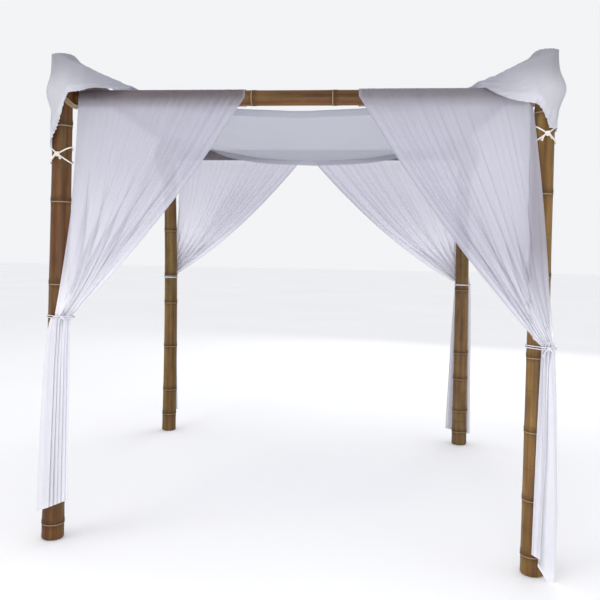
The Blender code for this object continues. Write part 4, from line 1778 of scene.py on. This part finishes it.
    def _sweep(self, u: np.ndarray) -> np.ndarray:
        """Rows down from the beam and across to the pole.

        Args:
            u: The columns' shares across the cloth, 0 at its outer edge.

        Returns:
            The rows.
        """
        top, end = self._hang(u), self._gather(u)
        control = (top + end) / 2
        control[:, 0] -= self.corner.sign_x * self.slack * (1 - u)
        control[:, 2] -= self.sag * u
        rows = []
        for t in np.linspace(0, 1, self.sweep_rows, endpoint=False):
            row = top * (1 - t) ** 2 + control * 2 * t * (1 - t) + end * t * t
            row[:, 1] = top[:, 1] + (end[:, 1] - top[:, 1]) * t ** self.sweep_inward
            rows.append(self._outside_pole(row, 0.005 + 0.035 * t ** 5))
        return np.array(rows)

    def _tail(self, u: np.ndarray) -> np.ndarray:
        """Rows from the tie down to the hem.

        Args:
            u: The columns' shares across the cloth, 0 at its outer edge.

        Returns:
            The rows.
        """
        end = self._gather(u)
        foot = self.hem[0] + (self.hem[1] - self.hem[0]) * u
        foot = foot + self.lifted * (1 - eased(u, 0.0, self.lifted_share))
        hanging = self.tail[0] + (self.tail[1] - self.tail[0]) * u
        rows = []
        for t in np.linspace(0, 1, self.tail_rows):
            spread = t ** self.tail_power
            z = end[:, 2] * (1 - t) + foot * t
            line = self.bundle_line(z, self.tail_depth, self.clear_at_tail)
            y = np.where(self.outward * (line - end[:, 1]) > 0, line, end[:, 1])
            rows.append(np.stack([end[:, 0] + (hanging - end[:, 0]) * spread, y, z], axis=-1))
        return np.array(rows)

    def _folded(self, rows: np.ndarray, u: np.ndarray) -> np.ndarray:
        """Adds the folds to the smooth rows.

        Args:
            rows: The cloth without folds, as rows of columns.
            u: The columns' shares across the cloth.

        Returns:
            The folded cloth.
        """
        normals = normals_of(rows)
        normals *= np.sign((normals[..., 1] * self.outward).mean()) or 1
        normals[: self.pocket_rows] = normals_of(rows[: self.pocket_rows + 1])[: self.pocket_rows]
        count = len(rows)
        first, last = self.pocket_rows, self.pocket_rows + self.sweep_rows
        place = np.arange(count)
        t = np.clip((place - first) / self.sweep_rows, 0, 1)
        down = np.clip((place - last) / self.tail_rows, 0, 1)
        grid_u, grid_t = np.meshgrid(u, t + down)
        gathered = (t + down)[:, None]
        bunched = eased(gathered, 0.5, 0.98)
        toward_inner = 0.34 + 0.66 * eased(grid_u, 0.12, 0.72)
        evenness = toward_inner * (1 - bunched) + bunched
        phase = self.folds * grid_u + self.unevenness * rippled(grid_u * 4.0, grid_t * 0.8, self.seed)
        fine = self._wave(phase, 0.8) * self._lively(grid_u, grid_t, 1.0, 3)
        middling = self._wave(phase * 0.47 + 0.3, 1.9) * self._lively(grid_u, grid_t, 0.5, 5)
        sway = self.sway * rippled(grid_u * 3.1, grid_t * 0.7, self.seed + 9)
        swept, hanging = (np.array(self._pleats(grid_u, sway, cover)) for cover in self.pleat_cover)
        pleat_at, pleat_out = swept + (hanging - swept) * eased(gathered, 0.97, 1.12)
        pleated = eased(gathered, *self.pleats_from)
        sweeping = (0, first, first + 5, first + 30, last - 24, last - 3)
        knots = (*sweeping, last + 2, last + 12, last + 26, count - 1)
        fine_depth = np.interp(place, knots, self.fine_depth_mm)[:, None] / 1000
        mid_depth = np.interp(place, knots, self.mid_depth_mm)[:, None] / 1000
        broad = rippled(grid_u * 2.6, grid_t * 0.8, self.seed + 7)
        broad = broad * eased(gathered, 0.0, 0.3) * (1 - bunched)
        away = self.depth * (fine_depth * fine + mid_depth * middling) * evenness + self.broad_depth * broad
        away += self.pleat_depth * (pleat_out - 0.5) * pleated
        folded = rows + normals * away[..., None]
        across = np.gradient(rows, axis=1)
        across /= np.maximum(np.linalg.norm(across, axis=-1, keepdims=True), 1e-9)
        spacing = np.abs(rows[:, -1] - rows[:, 0]).max(axis=1)[:, None]
        folded += across * (spacing * (pleat_at - grid_u) * pleated)[..., None]
        folded[:first] = rows[:first] + normals[:first] * np.abs(away[:first])[..., None]
        return folded

    def _pleats(self, u: np.ndarray, sway: np.ndarray, cover: float) -> tuple[np.ndarray, np.ndarray]:
        """Flat pleats that overlap like tiles.

        Args:
            u: The columns' shares across the cloth.
            sway: How far the folds lie from even spacing, in pleats.
            cover: A pleat's width as a share of the whole.

        Returns:
            Where each point lies, from 0 at the outer edge to 1 at the inner, and how far out, from 0 to 1.
        """
        step = (1 - cover) / (self.pleats - 1)
        turn = cover / (2 * cover - step)
        part = np.linspace(0, 1, 240, endpoint=False)
        over = np.interp(part, (0, turn, 1), (0, cover, step)) - step * part
        out = np.interp(part, (0, turn, 1), (0, 1, 0))
        soft = np.hanning(31)
        soft /= soft.sum()
        over, out = (np.convolve(np.tile(shape, 3), soft, "same")[240:480] for shape in (over, out))
        last = self.pleats - 1 + turn
        phase = np.clip(last * u + sway * np.sin(math.pi * u), 0, last)
        share = phase - np.floor(phase)
        return step * phase + np.interp(share, part, over), np.interp(share, part, out)

    @staticmethod
    def _wave(phase: np.ndarray, skew: float) -> np.ndarray:
        """A row of folds with sharper backs than fronts, one for each whole number of the phase."""
        turn = 2 * math.pi * phase
        return np.sin(turn) + 0.22 * np.sin(2 * turn + skew) + 0.10 * np.sin(3 * turn)

    def _lively(self, u: np.ndarray, t: np.ndarray, fineness: float, seed: float) -> np.ndarray:
        """How strong each fold is along its length, around 0.8."""
        return 0.8 + 0.65 * rippled(u * self.folds * 0.8 * fineness, t * 1.2, self.seed + seed)

    def points(self) -> tuple[np.ndarray, np.ndarray, np.ndarray, np.ndarray]:
        """The whole curtain.

        Returns:
            Its points as rows of columns, their places on the flat cloth, and where it is hemmed and bunched;
            both marks also carry painted light, the bunching as a grey-to-white step down the cloth and the
            outer hem as a lighter colour.
        """
        u = np.linspace(0, 1, self.columns + 1)
        rows = np.concatenate([self._pocket(u), self._sweep(u), self._tail(u)])
        points = self._folded(rows, u)
        steps = np.linalg.norm(np.diff(rows, axis=0), axis=-1).mean(axis=1)
        down = np.concatenate([[0], np.cumsum(steps)])
        flat = np.stack(np.meshgrid(u * self.cut_width(), down), axis=-1)
        place = np.arange(len(rows))
        width = self.cut_width()
        outer, inner = (share / width for share in self.edge_hems)
        hemmed = eased(flat[..., 1], down[-1] - self.foot_hem - 0.003, down[-1] - self.foot_hem)
        hemmed = np.maximum(hemmed * self.foot_share, (u > 1 - inner)[None, :])
        # The outer edge takes the negative selvage value: thinner cloth, and a colour lightened as painted
        # light.
        hemmed = np.where((u < outer)[None, :], self.selvage_and_painted_light, hemmed)
        hemmed = np.maximum(hemmed, (place < 2)[:, None])
        first, last = self.pocket_rows, self.pocket_rows + self.sweep_rows
        # The layers rise down the cloth; the colour they whiten is partly painted light and shade, the grey
        # top standing in for the roof's shade and the white gathered parts making up for the shade between
        # folds.
        knots = (0, first + 2, first + 5, last - 60, last - 34, last - 4, last + 6)
        swept, tied = self.gathered_layers_and_painted_light
        layers = np.interp(place, knots, (self.on_beam, self.on_beam, 0.0, 0.1, swept, tied, 0.85))
        return points, flat, hemmed, np.repeat(layers[:, None], len(u), axis=1)

    def cut_width(self) -> float:
        """The width of the cloth before it was gathered."""
        return abs(self.inner - self.outer) * self.fullness

    def cut_length(self) -> float:
        """The length of the cloth from its seam under the beam to its hem.

        Returns:
            The length along its middle.
        """
        u = np.array([0.5])
        rows = np.concatenate([self._pocket(u), self._sweep(u), self._tail(u)])
        return float(np.linalg.norm(np.diff(rows, axis=0), axis=-1).sum())

    def tie_outline(self, cord: float) -> tuple[np.ndarray, tuple[float, float]]:
        """Where the tie's cord runs, seen from above.

        Args:
            cord: The cord's radius.

        Returns:
            Points of its loop round the pole and the bundle, and the knot's place.
        """
        away = cord + LAYOUT.clearance
        centre = LAYOUT.pole_centre(self.corner, self.tie)
        around = LAYOUT.pole_radius(self.corner, self.tie) * LAYOUT.ridge + away
        half = self.gathered_depth / 2 + away
        line = float(self.bundle_line(np.array([self.tie]), self.gathered_depth, self.clear_at_tie)[0])
        low, high = min(self.gather) - away, max(self.gather) + away
        shape = []
        for a in np.linspace(0, 2 * math.pi, self.ring_points):
            shape.append((centre.x + around * math.cos(a), centre.y + around * math.sin(a)))
        for x, inward in ((low, 1), (high, -1)):
            for a in np.linspace(0, math.pi / 2, self.bend_points):
                aside = inward * self.rounding * (1 - math.cos(a))
                back = half - self.rounding * (1 - math.sin(a))
                shape.append((x + aside, line + self.outward * back))
            shape.append((x, line - self.outward * half * 0.6))
        bm = bmesh.new()
        for x, y in shape:
            bm.verts.new((x, y, 0))
        bmesh.ops.convex_hull(bm, input=bm.verts)
        middle = np.array([(low + high) / 2, (line + centre.y) / 2])
        kept = [np.array(vert.co)[:2] for vert in bm.verts if vert.link_faces]
        bm.free()
        kept.sort(key=lambda at: math.atan2(at[1] - middle[1], at[0] - middle[0]))
        knot = ((low + high) / 2, line + self.outward * (half + 1.2 * cord))
        return np.array(kept), knot

    def build(self, finish: bpy.types.Material) -> bpy.types.Object:
        """Args:
            finish: The voile.

        Returns:
            The curtain.
        """
        points, flat, hemmed, layers = self.points()
        bm = sheet_of(points, flat, hemmed=hemmed, layers=layers)
        name = f"curtain_{self.corner.label}"
        cloth = dressed(f"swept_{name}", bm, [finish], Slot.CURTAIN, name)
        self.cut_length()
        faces = len(cloth.data.polygons)
        LOG.info("curtain %s: %d faces, cut %.2f m long", self.corner.label, faces, self.cut_length())
        return cloth


CURTAINS = {
    curtain.corner: curtain
    for curtain in (
        Curtain(
            corner=Corner.FRONT_LEFT, outer=-1.117, inner=-0.262, gather=(-1.207, -1.112), tie=1.19,
            tail=(-1.316, -1.132), hem=(0.17, 0.25), sag=0.14, slack=0.05, seed=11.0, tail_power=0.38,
            on_beam=-1.15, pleat_cover=(0.36, 0.46), pleat_depth=0.021, gathered_layers_and_painted_light=(0.45, 1.0),
        ),
        Curtain(
            corner=Corner.FRONT_RIGHT, outer=1.136, inner=0.307, gather=(1.265, 1.195), tie=1.11,
            tail=(1.300, 1.172), hem=(0.058, 0.13), sag=0.13, slack=0.0, seed=23.0, lifted=0.28,
            tail_power=0.8, on_beam=-0.45, gathered_layers_and_painted_light=(0.0, 0.9), pleat_cover=(0.33, 0.52), pleat_depth=0.017,
            pleats_from=(0.35, 1.0),
        ),
        Curtain(
            corner=Corner.BACK_LEFT, outer=-1.13, inner=-0.09, gather=(-1.268, -1.190), tie=1.31,
            tail=(-1.270, -1.165), hem=(0.14, 0.16), sag=0.17, slack=0.09, seed=37.0, depth=1.5, pleats=8,
            pleat_cover=(0.28, 0.54), pleat_depth=0.014, pleats_from=(0.45, 1.0), gathered_layers_and_painted_light=(0.75, 1.0),
        ),
        Curtain(
            corner=Corner.BACK_RIGHT, outer=1.12, inner=-0.055, gather=(1.285, 1.168), tie=1.30,
            tail=(1.325, 1.120), hem=(0.06, 0.10), sag=0.18, slack=0.04, seed=53.0, depth=1.5, pleats=8,
            pleat_cover=(0.26, 0.47), pleat_depth=0.014, pleats_from=(0.45, 1.0), gathered_layers_and_painted_light=(0.75, 1.0),
        ),
    )
}


# The studio

@dataclass(frozen=True)
class Lamp:
    """A soft square lamp."""

    name: str
    at: tuple[float, float, float]
    size: float
    watts: float
    colour: tuple[float, float, float] = (0.97, 0.98, 1.0)


@dataclass(frozen=True)
class Studio:
    """The camera at the photograph's viewing angle, a pale floor and soft light."""

    camera_at: tuple[float, float, float] = (0.262, -4.90, 1.548)
    focal_px: float = 740.0
    frame_px: float = 600.0
    sensor: float = 36.0
    yaw_deg: float = 3.48
    pitch_deg: float = -3.78
    roll_deg: float = 1.11
    clip_end: float = 200.0
    floor_half: float = 60.0
    lamps: tuple[Lamp, ...] = (
        Lamp("key", (-5.0, -5.0, 4.6), 4.0, 90, (1.0, 0.985, 0.96)),
        Lamp("low_front", (0.2, -4.4, 0.35), 2.6, 100),
        Lamp("behind", (2.0, 6.5, 4.0), 5.0, 110),
    )
    lit_height: float = 1.3
    sky_colour: tuple[float, float, float, float] = (0.975, 0.98, 1.0, 1.0)
    sky_strength: float = 0.92

    def camera(self) -> None:
        """Sets the camera."""
        data = bpy.data.cameras.new("photo_camera")
        data.sensor_width = self.sensor
        data.lens = self.focal_px / self.frame_px * self.sensor
        data.clip_end = self.clip_end
        made = bpy.data.objects.new("photo_camera", data)
        yaw, pitch, roll = (math.radians(v) for v in (self.yaw_deg, self.pitch_deg, self.roll_deg))
        forward = Vector((-math.sin(yaw) * math.cos(pitch), math.cos(yaw) * math.cos(pitch), math.sin(pitch)))
        right = Vector((math.cos(yaw), math.sin(yaw), 0))
        up = right.cross(forward)
        rolled_right = math.cos(roll) * right + math.sin(roll) * up
        rolled_up = math.cos(roll) * up - math.sin(roll) * right
        turn = Matrix((rolled_right, rolled_up, -forward)).transposed()
        made.matrix_world = Matrix.Translation(self.camera_at) @ turn.to_4x4()
        bpy.context.scene.collection.objects.link(made)
        bpy.context.scene.camera = made

    def floor(self) -> None:
        """Lays the pale floor."""
        bm = bmesh.new()
        bmesh.ops.create_grid(bm, x_segments=2, y_segments=2, size=self.floor_half)
        mesh = bpy.data.meshes.new("studio_floor")
        bm.to_mesh(mesh)
        bm.free()
        mix = Recipe("pale_floor")
        at = mix.node("ShaderNodeTexCoord", {}, {}, "Object")
        cloud = mix.speckle(at, 0.35, 2.0)
        colour = mix.ramp(cloud, [(0.3, (0.93, 0.93, 0.94)), (0.7, (0.96, 0.96, 0.97))])
        mix.surface(Base_Color=colour, Roughness=0.9)
        mesh.materials.append(mix.material)
        made = bpy.data.objects.new("studio_floor", mesh)
        bpy.context.scene.collection.objects.link(made)

    def light(self, lamp: Lamp) -> None:
        """Adds a lamp that faces the canopy.

        Args:
            lamp: Where it stands, and its light.
        """
        data = bpy.data.lights.new(lamp.name, "AREA")
        data.size = lamp.size
        data.energy = lamp.watts
        data.color = lamp.colour
        made = bpy.data.objects.new(lamp.name, data)
        toward = Vector((0, 0, self.lit_height)) - Vector(lamp.at)
        turn = toward.to_track_quat("-Z", "Y").to_matrix().to_4x4()
        made.matrix_world = Matrix.Translation(lamp.at) @ turn
        bpy.context.scene.collection.objects.link(made)

    def build(self) -> None:
        """Sets the camera, the floor, the lamps and the sky."""
        self.camera()
        self.floor()
        for lamp in self.lamps:
            self.light(lamp)
        world = bpy.data.worlds.new("studio_sky")
        world.use_nodes = True
        sky = world.node_tree.nodes["Background"]
        sky.inputs["Color"].default_value = self.sky_colour
        sky.inputs["Strength"].default_value = self.sky_strength
        bpy.context.scene.world = world
        bpy.context.scene.view_settings.view_transform = "Standard"


def main() -> None:
    """Builds the canopy's looks in order."""
    logging.basicConfig(level=logging.INFO, format="%(message)s")
    Studio().build()
    Bamboo().build()
    Lashings().build()
    RoofCloth().build()
    voile = CURTAIN_VOILE.cloth()
    for curtain in CURTAINS.values():
        curtain.build(voile)
    Ties().build(CURTAINS)


if __name__ == "__main__":
    main()
